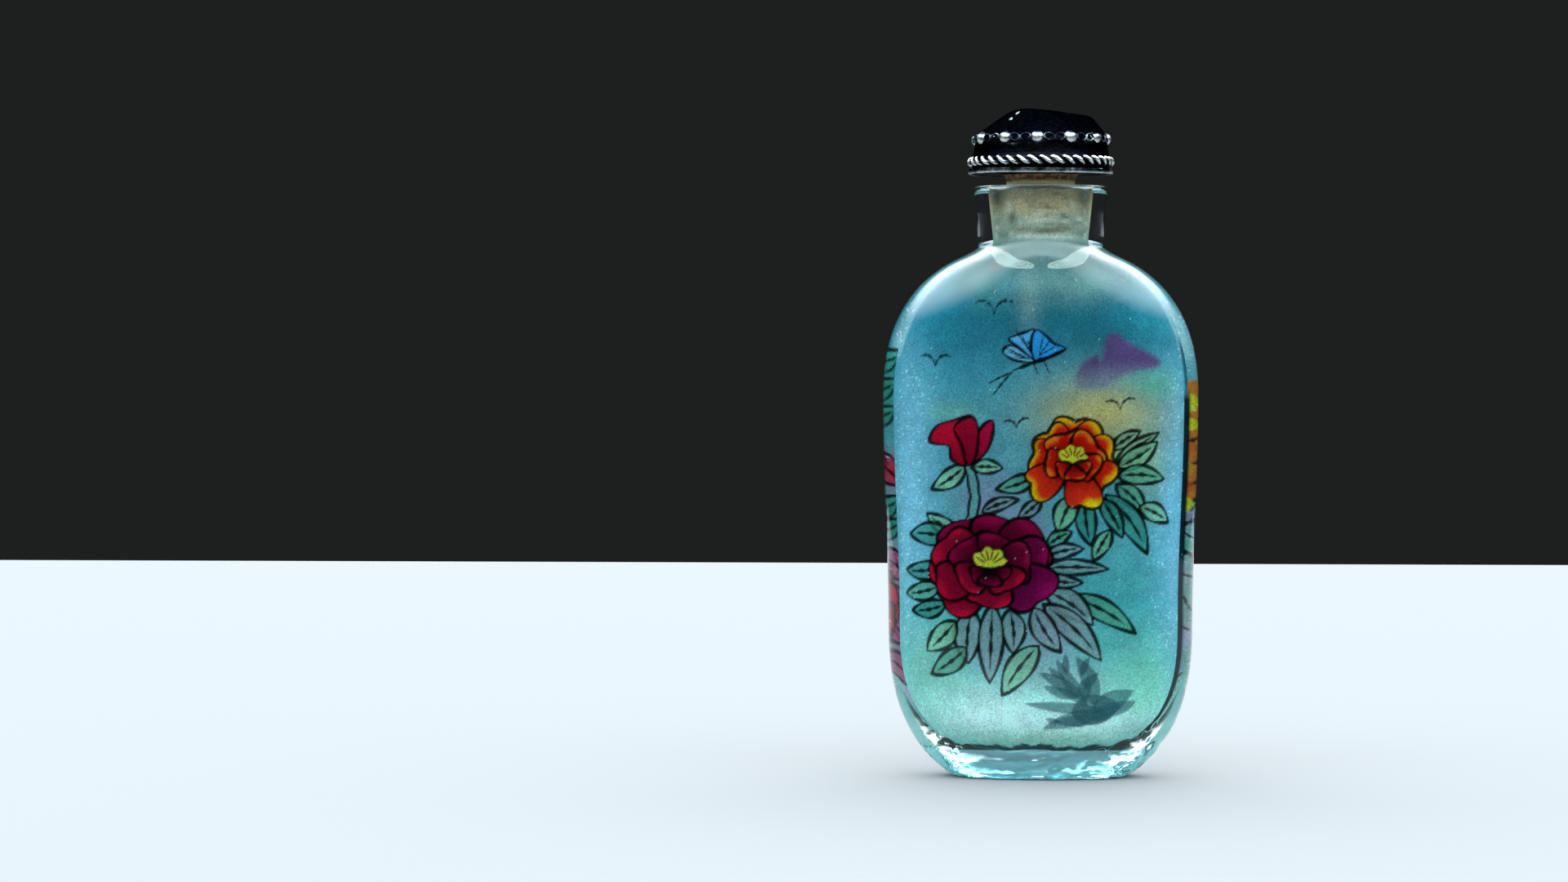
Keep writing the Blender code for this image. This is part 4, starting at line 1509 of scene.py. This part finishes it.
def paint_back(canvas: Canvas) -> None:
    """Paints the back in keeping: the same flowers in fewer strokes, and the colours seen at the edges.

    Args:
        canvas: The back wall's paint.
    """
    # The wash is lighter towards the bottom: painted light, as on the front.
    canvas.coat((
        (3.8, "#BFEFE4"), (8.0, "#A6E2DA"), (14.0, "#6CC4C4"), (30.0, "#62B4C0"), (45.0, "#4AA0B2"),
        (54.0, "#2F8496"), (58.0, "#5E989B"), (63.6, "#86B0A8"), (65.6, "#9CAC9A"), (67.0, "#AAB49C"),
        (69.0, "#D2C49A"), (70.4, "#C9C2A6"),
    ))
    for x, y, wide, high, tone, strength in (
        (7.0, 44.0, 7.0, 4.5, "#CBC07A", 0.80), (18.5, 53.0, 3.2, 4.2, "#8FD0DA", 0.95),
        (17.5, 20.0, 4.0, 11.0, "#6E9488", 0.80), (-18.5, 20.0, 3.2, 8.0, "#B0246E", 0.90),
        (-17.6, 10.4, 2.6, 1.0, "#B9A9D6", 0.85), (-17.0, 7.6, 3.2, 1.8, "#1A6474", 0.85),
        (-18.0, 31.5, 3.2, 2.6, "#2F8A76", 0.80), (-18.5, 36.6, 2.6, 2.2, "#A3123A", 0.90),
        (-18.0, 45.0, 3.5, 5.0, "#3A8F7C", 0.75), (0.0, 16.0, 6.0, 5.0, "#B4B0CE", 0.50),
    ):
        canvas.dab((x, y), (wide, high), tone, strength)
    # Painted light: a pale glow along both side edges of the upper wash.
    canvas.border(PAINTED_EDGE_GLOW, 0.93, 0.96, (50.0, 60.0), 0.60)
    ridge = rounded(((-9.8, 49.6), (-8.0, 51.6), (-6.2, 51.2), (-4.6, 53.4), (-2.4, 51.0), (1.2, 49.8),
                     (-3.0, 48.6)), 6)
    haze = np.array(linear("#6A5C86"))
    canvas.fill(ridge, lambda index: np.tile(haze, (len(index), 1)), soft=0.45)
    for centre in ((5.5, 54.6), (9.0, 50.6), (-11.0, 54.0)):
        paint_bird(canvas, centre, 3.7, 0.1)
    paint_butterfly(canvas, (1.8, 45.4), 3.6, 6.0)
    paint_stalk(canvas, ((-13.8, 36.0), (-12.4, 31.5), (-11.4, 27.0)), 1.0)
    paint_stalk(canvas, ((9.4, 36.0), (6.4, 28.0), (2.4, 18.0), (0.4, 9.5)), 1.1)
    for base, reach, turns, tones in (
        ((-9.6, 21.0), 9.2, (212, 180, 238, 262, 150, 24, -8, -38, -66),
         (DEEP_GREEN, LEAF_GREEN, GREY_GREEN)),
        ((10.2, 38.6), 8.4, (-16, -48, -78, -106, -138, 190, 160, 20), (LEAF_GREEN, DEEP_GREEN, PALE_GREEN)),
        ((2.6, 19.0), 5.6, (205, 160, -20, 25, -60), (GREY_GREEN, PALE_GREEN)),
        ((6.2, 27.6), 4.6, (200, 150, -10, -40), (LEAF_GREEN, PALE_GREEN)),
    ):
        for number, degrees in enumerate(turns):
            turn = math.radians(degrees)
            tip = (base[0] + 1.15 * reach * math.cos(turn), base[1] + reach * math.sin(turn))
            Leaf(base, tip, 2.5, tones[number % len(tones)], 0.35).paint(canvas)
    for level, bend in ((50.0, 0.4), (46.8, 0.3), (43.6, 0.2), (33.0, 0.3), (30.2, 0.2)):
        Leaf((-14.5, level - 1.4), (-19.6, level + 0.6), 2.4, DEEP_GREEN, bend).paint(canvas)
    for centre, radii, tone in (
        ((17.6, 31.4), (1.6, 1.4), "#8E8CB0"), ((18.6, 24.6), (1.4, 1.8), "#8C9CB4"),
        ((18.0, 27.6), (1.5, 1.2), "#3D9A80"), ((18.8, 20.6), (1.2, 1.2), "#4FA07E"),
        ((17.8, 17.0), (1.6, 1.6), "#A99CC0"), ((18.4, 13.2), (1.6, 1.4), "#7C96B4"),
        ((17.6, 9.6), (1.5, 1.2), "#3FA06C"),
    ):
        canvas.dab(centre, radii, tone, 0.8)
    for stroke, width in (
        (((15.6, 34.0), (17.4, 32.2), (19.6, 31.8), (18.6, 29.6), (16.4, 28.4)), 0.40),
        (((20.4, 29.6), (18.8, 27.2), (17.0, 26.8), (16.4, 25.2)), 0.55),
        (((16.0, 23.8), (18.0, 24.4), (20.0, 22.6)), 0.35),
        (((19.6, 20.8), (17.6, 21.6), (16.6, 19.8)), 0.45),
        (((16.8, 17.6), (18.6, 18.4), (20.2, 16.6), (18.4, 14.6)), 0.40),
        (((16.4, 13.0), (18.2, 12.0), (19.6, 13.4)), 0.35),
        (((16.6, 10.4), (18.4, 10.0), (17.6, 7.8)), 0.40),
    ):
        canvas.line(np.array(stroke), width, taper=0.7)
    Leaf((-16.0, 38.8), (-20.4, 35.2), 3.2, "#A3123A", 0.5).paint(canvas)
    for level in (27.0, 22.6, 19.4, 14.8):
        Leaf((-15.6, level), (-20.6, level - 2.6), 3.4, "#B0246E", 0.5).paint(canvas)
    orange_blossom((12.2, 39.4), 6.8).paint(canvas)
    petal = rounded(((17.0, 33.4), (16.9, 40.0), (17.0, 46.6), (18.8, 47.2), (21.2, 46.8), (21.2, 33.0)), 4)
    amber = np.array(linear("#B87430"))
    canvas.fill(petal, lambda index: np.tile(amber, (len(index), 1)), soft=0.25)
    for level, size, tone in (
        (44.9, 2.2, "#D4F01A"), (42.2, 1.5, "#D4F01A"), (39.4, 1.6, "#C46A22"), (37.0, 1.6, "#C9982C"),
        (34.8, 1.5, "#C25C1C"), (32.8, 2.0, "#D4F01A"),
    ):
        Leaf((17.2, level), (20.0, level - 0.4 * size), size, tone, 0.3).paint(canvas, outlined=False)
        vein = ((17.0, level - size), (18.4, level - size - 0.5), (19.8, level - 0.6 * size))
        canvas.line(np.array(vein), 0.5)
    paint_bud(canvas, (-13.6, 34.8), 5.2)
    maroon_blossom((-11.0, 20.6), 7.2).paint(canvas)
    # Painted shade: a dark band along the right edge.
    canvas.border(EDGE_SHADE, 0.965, 0.978, (3.0, 46.0), 0.97, side=1.0)


@dataclass
class InsidePainting:
    """The paint on one face of the cavity: a film that touches the glass and follows its inner wall."""

    flask: Flask
    face: Face
    low_level: float = 3.9
    high_level: float = 70.25
    bite: float = 0.12
    thickness: float = 0.03
    fine_step: float = 0.156
    coarse_step: float = 0.28
    fine_reach: float = 15.6
    fine_low: float = 7.5
    fine_high: float = 55.5
    lining: str = "#9FB9B4"
    lining_columns: int = 60
    lining_rows: int = 80

    def spread(self, length: float, low: float, high: float) -> np.ndarray:
        """Places along a run, close together between two of them.

        Args:
            length: The run's length in millimetres.
            low: Where the close part starts.
            high: Where the close part ends.

        Returns:
            The places, from zero to the length.
        """
        dense = np.linspace(0.0, length, 2000)
        close = smooth(low - 1.5, low + 0.5, dense) * (1.0 - smooth(high - 0.5, high + 1.5, dense))
        step = self.fine_step + (self.coarse_step - self.fine_step) * (1.0 - close)
        count = np.concatenate([[0.0], np.cumsum(np.diff(dense) / step[1:])])
        return np.interp(np.linspace(0.0, count[-1], math.ceil(count[-1]) + 1), count, dense)

    def wall_point(self, shares: np.ndarray, level: float, bite: float) -> tuple[np.ndarray, np.ndarray]:
        """Points across the face at a level.

        Args:
            shares: Places across, from -1 at one side to 1 at the other, by length along the wall.
            level: The level.
            bite: How far the points lie inside the glass.

        Returns:
            The points, and how far across each of them is along the wall.
        """
        wide, deep, square = self.flask.inner(level)
        quarter = np.linspace(0.0, math.pi / 2, 500)
        turn_x, turn_y = np.sin(quarter), np.cos(quarter)
        reach = (turn_x**square + turn_y**square) ** (-1.0 / square)
        x, y = (wide + bite) * reach * turn_x, (deep + bite) * reach * turn_y
        run = np.concatenate([[0.0], np.cumsum(np.hypot(np.diff(x), np.diff(y)))])
        here = np.abs(shares) * run[-1]
        row_x = np.sign(shares) * np.interp(here, run, x)
        row_y = self.face.value * np.interp(here, run, y)
        return np.stack([row_x, row_y, np.full(len(shares), level)], axis=1), np.sign(shares) * here

    def sheet(self, name: str, shares: np.ndarray, levels: np.ndarray, bite: float) -> tuple[Any, np.ndarray]:
        """Drapes a grid over the wall.

        Args:
            name: The object's name.
            shares: Places across.
            levels: Levels of its rows.
            bite: How far it lies inside the glass.

        Returns:
            The sheet, and how far across each of its vertices is.
        """
        rows = [self.wall_point(shares, float(level), bite) for level in levels]
        placed = np.concatenate([points for points, _ in rows])
        ragged = 0.06 * np.sin(2.3 * placed[:, 0]) + 0.04 * np.sin(7.1 * placed[:, 0] + 1.0)
        placed[:, 2] += ragged * smooth(self.high_level - 1.4, self.high_level, placed[:, 2])
        across = np.concatenate([reach for _, reach in rows])
        made = shaped_grid(name, len(shares) - 1, len(levels) - 1, lambda column, row: placed * MM)
        return made, across

    def build(self) -> bpy.types.Object:
        """Makes the film, paints it and closes it with a plainer inner side.

        Returns:
            The painted film.
        """
        dense = np.linspace(self.low_level, self.high_level, 1600)
        outline = np.array([self.flask.inner(float(level))[1] for level in dense])
        run = np.concatenate([[0.0], np.cumsum(np.hypot(np.diff(outline), np.diff(dense)))])
        low, high = np.interp((self.fine_low, self.fine_high), dense, run)
        levels = np.interp(self.spread(float(run[-1]), low, high), run, dense)
        half = float(self.wall_point(np.array((1.0,)), self.flask.widest, self.bite)[1][0])
        shares = self.spread(2 * half, half - self.fine_reach, half + self.fine_reach) / half - 1.0
        made, across = self.sheet(f"inside_painting_{self.face.name.lower()}", shares, levels, self.bite)
        canvas = Canvas(across, get_points(made.data)[:, 2] / MM, np.tile(np.abs(shares), len(levels)))
        if self.face is Face.FRONT:
            paint_front(canvas)
        else:
            paint_back(canvas)
        canvas.speckle(20 + self.face.value)
        self.lay_colour(made, canvas.colour)
        lining, _ = self.sheet("lining", np.linspace(-1.0, 1.0, self.lining_columns + 1),
                               levels[:: len(levels) // self.lining_rows], self.bite - self.thickness)
        self.lay_colour(lining, np.tile(linear(self.lining), (len(lining.data.vertices), 1)))
        made = join(made.name, [made, lining])
        pick(made)
        bpy.ops.object.mode_set(mode="EDIT")
        bpy.ops.mesh.select_mode(type="EDGE")
        bpy.ops.mesh.select_all(action="DESELECT")
        bpy.ops.mesh.select_non_manifold()
        bpy.ops.mesh.bridge_edge_loops()
        bpy.ops.mesh.select_all(action="SELECT")
        bpy.ops.mesh.normals_make_consistent(inside=False)
        bpy.ops.object.mode_set(mode="OBJECT")
        made.data.materials.clear()
        made.data.materials.append(InsidePaint().make())
        smooth_shade(made, 60.0)
        present(made, "")
        return made

    @staticmethod
    def lay_colour(made: bpy.types.Object, colour: np.ndarray) -> None:
        """Writes colours to a sheet's vertices.

        Args:
            made: The sheet.
            colour: A row of linear values for each vertex.
        """
        layer = made.data.color_attributes.new(name="paint", type="FLOAT_COLOR", domain="POINT")
        rgba = np.concatenate([colour, np.ones((len(colour), 1))], axis=1)
        layer.data.foreach_set("color", rgba.astype(np.float32).ravel())


def turned_piece(name: str, profile: Sequence[Pair], columns: int,
                 relief: Callable[[float, float, float], tuple[float, float, float]]) -> bpy.types.Object:
    """A round piece from a profile, with a relief worked into its surface.

    Args:
        name: The object's name.
        profile: Radius and level pairs in millimetres, from the bottom's middle to the top's.
        columns: How many faces round it.
        relief: Moves a point, in millimetres.

    Returns:
        The closed piece.
    """
    table = np.array(profile)

    def place(across: np.ndarray, up: np.ndarray) -> np.ndarray:
        """Turns the profile round the middle."""
        radius, level = table[np.rint(up * (len(table) - 1)).astype(int)].T
        turn = (across % 1.0) * 2 * math.pi
        flat = np.stack([radius * np.cos(turn), radius * np.sin(turn), level], axis=1)
        return np.array([relief(*point) for point in flat]) * MM

    made = shaped_grid(name, columns, len(table) - 1, place)
    close_mesh(made)
    return made


def eased(profile: Sequence[Pair], step: float) -> list[Pair]:
    """Adds points along a profile so that none are further apart than a step.

    Args:
        profile: Radius and level pairs.
        step: The widest gap.

    Returns:
        The fuller profile.
    """
    made = [profile[0]]
    for start, end in zip(profile, profile[1:]):
        count = max(1, math.ceil(math.dist(start, end) / step))
        for index in range(1, count + 1):
            share = index / count
            made.append((start[0] + (end[0] - start[0]) * share, start[1] + (end[1] - start[1]) * share))
    return made


@dataclass
class Stopper:
    """The stopper: a tapered cork, a thin plate and a cast cap with a rope edge, grains and wire loops."""

    flask: Flask
    gap: float = 0.3
    stand: float = 1.4
    cork_head: float = 8.3
    cork_reach: float = 3.0
    plate_diameter: float = 17.3
    plate_thickness: float = 0.6
    plate_edge: float = 0.15
    plate_rim: float = 0.55
    plate_step: Pair = (0.10, 0.07)
    plate_warp: float = 0.05
    band: float = 16.1
    band_height: float = 2.6
    flare: float = 0.35
    dome_height: float = 4.4
    dome_curve: float = 2.1
    dome_skew: float = 13.0
    skew_turn: float = 0.52
    hammered: tuple[tuple[float, float, float, float], ...] = (
        (-0.57, 0.0, 0.82, 67.3), (0.10, 0.0, 0.995, 79.3), (0.79, 0.0, 0.61, 52.9),
        (-0.25, -0.62, 0.74, 60.9), (0.45, -0.55, 0.70, 58.6), (0.05, 0.66, 0.75, 61.9),
        (-0.60, 0.50, 0.62, 53.8), (0.62, 0.45, 0.64, 54.8),
    )
    rope: float = 1.2
    rope_wire: float = 0.66
    rope_overhang: float = 0.75
    rope_turns: int = 19
    stud: float = 1.55
    stud_count: int = 12
    stud_rise: float = 0.7
    stud_sink: float = 1.15
    stud_turn: float = -3.0
    stud_tilt: float = 18.0
    loop: float = 1.0
    loop_wire: float = 0.26
    loop_spread: float = 4.7
    loop_lean: float = 14.0

    def __post_init__(self) -> None:
        """Works out the levels."""
        self.plate_low = self.flask.rim + self.stand
        self.plate_high = self.plate_low + self.plate_thickness
        self.cap_low = self.plate_high + self.gap
        self.dome_foot = self.cap_low + self.band_height
        self.rope_level = self.cap_low + self.rope / 2
        self.rope_ring = self.band / 2 + self.rope_overhang - self.rope / 2

    def build_cork(self) -> bpy.types.Object:
        """Makes the cork, with a collar of dried glue where it meets the plate.

        Returns:
            The cork.
        """
        rim, foot = self.flask.rim, self.flask.rim - self.cork_reach
        flask = self.flask
        neck = flask.tapered(rim, flask.bore_foot, flask.bore_rim) - self.gap
        shank = flask.tapered(foot, flask.bore_foot, flask.bore_rim) - self.gap
        top, head = self.plate_low - 0.02, self.cork_head / 2
        profile = eased(((0.02, foot), (shank - 0.3, foot), (shank, foot + 0.3), (neck, rim - 0.1),
                         (head - 0.05, rim + 0.35), (head, top - 0.45), (head + 0.06, top - 0.25),
                         (head + 0.30, top), (0.02, top)), 0.12)

        def relief(x: float, y: float, z: float) -> tuple[float, float, float]:
            """Pores and crumbled edges, kept inside the cork's own outline."""
            radius = math.hypot(x, y)
            if radius < 1.0 or z > top - 0.02:
                return x, y, z
            where = Vector((x, y, z))
            pit = 0.35 * max(noise.noise(where / 0.45) - 0.05, 0.0)
            pit += 0.16 * max(noise.noise(where / 1.1), 0.0)
            keep = (radius - pit) / radius
            return x * keep, y * keep, z

        made = turned_piece("cork_stopper", profile, 144, relief)
        made.data.materials.append(CorkBark().make((rim + 0.55) * MM))
        smooth_shade(made, 50.0)
        present(made, "cork")
        return made

    def build_plate(self) -> bpy.types.Object:
        """Makes the thin plate, its edge rounded by wear and its underside dished a little.

        Returns:
            The plate.
        """
        deselect_all()
        middle = (self.plate_low + self.plate_high) / 2
        bpy.ops.mesh.primitive_cylinder_add(
            vertices=160, radius=self.plate_diameter / 2 * MM, depth=self.plate_thickness * MM,
            location=(0.0, 0.0, middle * MM),
        )
        made = take_new("cap_plate")
        bake_place(made)
        bpy.ops.object.mode_set(mode="EDIT")
        bpy.ops.mesh.select_mode(type="FACE")
        bpy.ops.mesh.select_all(action="DESELECT")
        bpy.ops.object.mode_set(mode="OBJECT")
        for polygon in made.data.polygons:
            polygon.select = polygon.normal.z < -0.5
        bpy.ops.object.mode_set(mode="EDIT")
        run, rise = self.plate_step
        bpy.ops.mesh.inset(thickness=self.plate_rim * MM)
        bpy.ops.mesh.inset(thickness=run * MM)
        bpy.ops.transform.translate(value=(0.0, 0.0, rise * MM))
        bpy.ops.object.mode_set(mode="OBJECT")
        edge = made.modifiers.new("Worn edge", "BEVEL")
        edge.width = self.plate_edge * MM
        edge.segments = 3
        edge.angle_limit = math.radians(50)
        apply_modifiers(made)
        points = get_points(made.data)
        turn = np.arctan2(points[:, 1], points[:, 0])
        reach = np.hypot(points[:, 0], points[:, 1]) / (self.plate_diameter / 2 * MM)
        lower = 1.0 - smooth(self.plate_low, self.plate_high, points[:, 2] / MM)
        points[:, 2] += self.plate_warp * MM * reach**2 * np.sin(2 * turn + 0.7)
        set_points(made.data, points)
        # Bright only at the outer edge, which is wear, and there only on its lower half, which is painted
        # light from below.
        self.set_rubbed_and_lit(made, 0.05 + 0.6 * smooth(0.955, 0.985, reach) * lower)
        made.data.materials.append(CastWhiteMetal().make("rubbed_and_lit_white_metal"))
        smooth_shade(made, 35.0)
        present(made, "stopper_plate")
        return made

    def dome(self) -> bpy.types.Object:
        """Makes the cap's body: foot, flared band and the slightly crooked dome.

        Returns:
            The body of the casting.
        """
        band, low = self.band / 2, self.cap_low - self.gap + 0.05
        profile = eased(((0.02, low), (self.rope_ring - 0.25, low), (self.rope_ring, low + 0.25),
                         (self.rope_ring, self.rope_level),
                         (band + self.flare, self.rope_level + self.rope * 0.3),
                         (band + self.flare * 0.45, self.rope_level + self.rope * 0.62),
                         (band + self.flare * 0.15, (self.dome_foot + self.cap_low + self.rope) / 2),
                         (band, self.dome_foot)), 0.25)
        for index in range(1, 47):
            share = math.sin(index / 46 * math.pi / 2)
            reach = (1.0 - min(share, 0.99999) ** self.dome_curve) ** (1.0 / self.dome_curve)
            profile.append((max(band * reach, 0.02), self.dome_foot + self.dome_height * share))

        def relief(x: float, y: float, z: float) -> tuple[float, float, float]:
            """Leans the dome as it was cast, and works dents and pits into it."""
            radius = math.hypot(x, y)
            if z > self.dome_foot:
                reach = radius / band
                lean_out = self.dome_skew * reach**2 * (1.0 - reach) * (reach - self.skew_turn)
                z += lean_out * x / max(radius, 0.05)
            if z < self.cap_low + self.rope * 0.5:
                return x, y, z
            where = Vector((x, y, z))
            dent = 0.16 * max(noise.noise(where / 3.1 + Vector((3, 9, 4))), 0.0)
            dent += 0.035 * (1.0 + noise.noise(where / 0.7))
            lean = 1.0 - dent / max(radius, 2.0)
            sunk = dent * float(smooth(self.dome_foot, self.dome_foot + 3.0, z))
            at = Vector((x * lean, y * lean, z - sunk))
            for *way, reach_out in self.hammered:
                over = at.dot(Vector(way)) - reach_out
                if over > 0.0 and at.z > self.dome_foot:
                    at -= Vector(way) * over * 0.85
            return at.x, at.y, at.z

        made = turned_piece("cap_body", profile, 224, relief)
        self.set_rubbed_and_lit(made, 0.0)
        return made

    def rope_strand(self, half_turn: float) -> bpy.types.Object:
        """Makes one of the two wires that twist round each other at the cap's edge.

        Args:
            half_turn: Where the wire starts, in radians.

        Returns:
            The wire.
        """
        deselect_all()
        bpy.ops.mesh.primitive_torus_add(
            major_segments=self.rope_turns * 16, minor_segments=10, major_radius=self.rope_ring * MM,
            minor_radius=self.rope_wire / 2 * MM, location=(0.0, 0.0, 0.0),
        )
        made = take_new("rope_strand")
        points = get_points(made.data)
        turn = np.arctan2(points[:, 1], points[:, 0])
        twist = -self.rope_turns * turn + half_turn
        throw = (self.rope - self.rope_wire) / 2 * MM
        scale = 1.0 + throw * np.cos(twist) / np.hypot(points[:, 0], points[:, 1])
        points[:, 0] *= scale
        points[:, 1] *= scale
        points[:, 2] += throw * np.sin(twist) + self.rope_level * MM
        set_points(made.data, points)
        off_ring = np.hypot(points[:, 0], points[:, 1]) / MM - self.rope_ring
        away = np.hypot(off_ring, points[:, 2] / MM - self.rope_level)
        self.set_rubbed_and_lit(made, 0.05 + 0.75 * smooth(0.47, 0.58, away))
        return made

    @staticmethod
    def set_rubbed_and_lit(made: bpy.types.Object, share: Any) -> None:
        """Says how bright the metal is: rubbed bright by handling, and on some parts painted light.

        Args:
            made: The piece.
            share: One share from 0 to 1, or one for each vertex.
        """
        layer = made.data.attributes.new(name="rubbed_and_lit", type="FLOAT", domain="POINT")
        values = np.broadcast_to(np.asarray(share, np.float32), (len(made.data.vertices),))
        layer.data.foreach_set("value", np.ascontiguousarray(values))

    def on_dome(self, degrees: float, sink: float) -> Matrix:
        """Place of an ornament on the row above the band.

        Args:
            degrees: Its turn round the cap.
            sink: How far it is let in, in millimetres.

        Returns:
            A matrix whose Z points out of the metal and whose X runs round it.
        """
        turn = math.radians(degrees)
        reach = self.flask.arch(self.stud_rise / self.dome_height, self.dome_curve)
        out = self.band / 2 * reach - sink
        tilt = math.radians(self.stud_tilt)
        outward = Vector((math.cos(turn) * math.cos(tilt), math.sin(turn) * math.cos(tilt), math.sin(tilt)))
        around = Vector((-math.sin(turn), math.cos(turn), 0.0))
        upward = outward.cross(around)
        middle = Vector((out * math.cos(turn), out * math.sin(turn), self.dome_foot + self.stud_rise)) * MM
        made = Matrix((around, upward, outward)).transposed().to_4x4()
        made.translation = middle
        return made

    def ornaments(self) -> list[bpy.types.Object]:
        """Makes the round grains and the pairs of little wire loops between them.

        Returns:
            The grains and loops.
        """
        deselect_all()
        bpy.ops.mesh.primitive_uv_sphere_add(segments=20, ring_count=14, radius=self.stud / 2 * MM)
        grain = take_new("grain")
        # Painted light: each grain is brighter on its lower half, as if lit from below.
        height = get_points(grain.data)[:, 1] / (self.stud / 2 * MM)
        self.set_rubbed_and_lit(grain, 0.62 - 0.50 * smooth(0.0, 0.55, height))
        deselect_all()
        bpy.ops.mesh.primitive_torus_add(
            major_segments=22, minor_segments=8, major_radius=self.loop / 2 * MM,
            minor_radius=self.loop_wire / 2 * MM,
        )
        loop = take_new("wire_loop")
        self.set_rubbed_and_lit(loop, 0.0)
        oval_points = get_points(loop.data) * np.array((1.15, 0.82, 1.0))
        set_points(loop.data, oval_points)
        made = []
        pitch = 360.0 / self.stud_count
        for index in range(self.stud_count):
            turn = self.stud_turn + pitch * index
            wobble = 0.06 * math.sin(index * 2.4)
            made.append(self.copy(grain, self.on_dome(turn, self.stud_sink - self.stud / 2 + wobble)))
            for side in (-1.0, 1.0):
                place = self.on_dome(turn + pitch / 2 + side * self.loop_spread, 0.02)
                lean = Matrix.Rotation(math.radians(self.loop_lean * side), 4, "Z")
                made.append(self.copy(loop, place @ lean))
        bpy.data.objects.remove(grain, do_unlink=True)
        bpy.data.objects.remove(loop, do_unlink=True)
        return made

    @staticmethod
    def copy(pattern: bpy.types.Object, place: Matrix) -> bpy.types.Object:
        """Copies an ornament with its own mesh to a place.

        Args:
            pattern: The ornament.
            place: The copy's place.

        Returns:
            The copy.
        """
        made = pattern.copy()
        made.data = pattern.data.copy()
        made.data.transform(place)
        bpy.context.collection.objects.link(made)
        return made

    def build_cap(self) -> bpy.types.Object:
        """Makes the cast cap as one piece.

        Returns:
            The cap.
        """
        strands = [self.rope_strand(half_turn) for half_turn in (0.0, math.pi)]
        made = join("cast_cap", [self.dome(), *strands, *self.ornaments()])
        made.data.materials.clear()
        made.data.materials.append(CastWhiteMetal().make("blackened_cast_white_metal"))
        smooth_shade(made, 40.0)
        present(made, "stopper_cap")
        return made


@dataclass
class Studio:
    """Pale paper, soft light and the camera, in millimetres."""

    lens_mm: float = 95.7
    stand_off: float = 500.0
    eye_level: float = 52.0
    pan_degrees: float = 3.52
    drop_degrees: float = 1.36
    paper_half_width: float = 320.0
    paper_front: float = -118.0
    paper_back: float = 480.0
    sky: str = "#F2F6F8"
    dim: float = 0.015
    bright: float = 10.2
    rise_span: Pair = (0.34, 0.70)
    fall_span: Pair = (0.72, 1.0)
    zenith_share: float = 0.3

    def build(self) -> None:
        """Makes the paper, the light from above and the camera.

        The paper ends just in front of the picture's lower edge, and the light starts well above the horizon,
        so that the polished glass mirrors neither over the dark ink.
        """
        deselect_all()
        bpy.ops.mesh.primitive_plane_add(size=2.0)
        floor = take_new("studio_floor")
        corners = get_points(floor.data)
        corners[:, 0] *= self.paper_half_width * MM
        corners[:, 1] = np.where(corners[:, 1] < 0.0, self.paper_front, self.paper_back) * MM
        set_points(floor.data, corners)
        floor.data.materials.append(StudioPaper().make())
        world = bpy.data.worlds.new("studio_sky")
        world.use_nodes = True
        tree = world.node_tree
        way = add_node(tree, "ShaderNodeTexCoord", {}, {}).outputs["Generated"]
        height = add_node(tree, "ShaderNodeSeparateXYZ", {}, {"Vector": way}).outputs["Z"]
        levels = []
        for (low, high), start, end in (
            (self.rise_span, self.dim, self.bright), (self.fall_span, 1.0, self.zenith_share),
        ):
            span = {"Value": height, "From Min": low, "From Max": high, "To Min": start, "To Max": end}
            ease = {"interpolation_type": "SMOOTHSTEP"}
            levels.append(add_node(tree, "ShaderNodeMapRange", ease, span).outputs["Result"])
        glow = add_node(tree, "ShaderNodeMath", {"operation": "MULTIPLY"}, {0: levels[0], 1: levels[1]})
        sky = tree.nodes["Background"]
        sky.inputs["Color"].default_value = (*linear(self.sky), 1.0)
        tree.links.new(glow.outputs["Value"], sky.inputs["Strength"])
        scene = bpy.context.scene
        scene.world = world
        scene.view_settings.view_transform = "Standard"
        eye = bpy.data.cameras.new("camera")
        eye.lens = self.lens_mm
        eye.clip_start = 0.01
        camera = bpy.data.objects.new("camera", eye)
        camera.location = (0.0, -self.stand_off * MM, self.eye_level * MM)
        camera.rotation_euler = (math.radians(90.0 - self.drop_degrees), 0.0, math.radians(self.pan_degrees))
        scene.collection.objects.link(camera)
        scene.camera = camera
        LOG.info("studio: floor, sky and camera")


def main() -> None:
    """Builds the bottle, its painting and its stopper, then the studio."""
    logging.basicConfig(level=logging.INFO, format="%(name)s %(message)s")
    Studio().build()
    flask = Flask()
    flask.build()
    for face in Face:
        InsidePainting(flask, face).build()
    stopper = Stopper(flask)
    stopper.build_cork()
    stopper.build_plate()
    stopper.build_cap()
    LOG.info("frame nodes: %s", sorted(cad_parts))


if __name__ == "__main__":
    main()
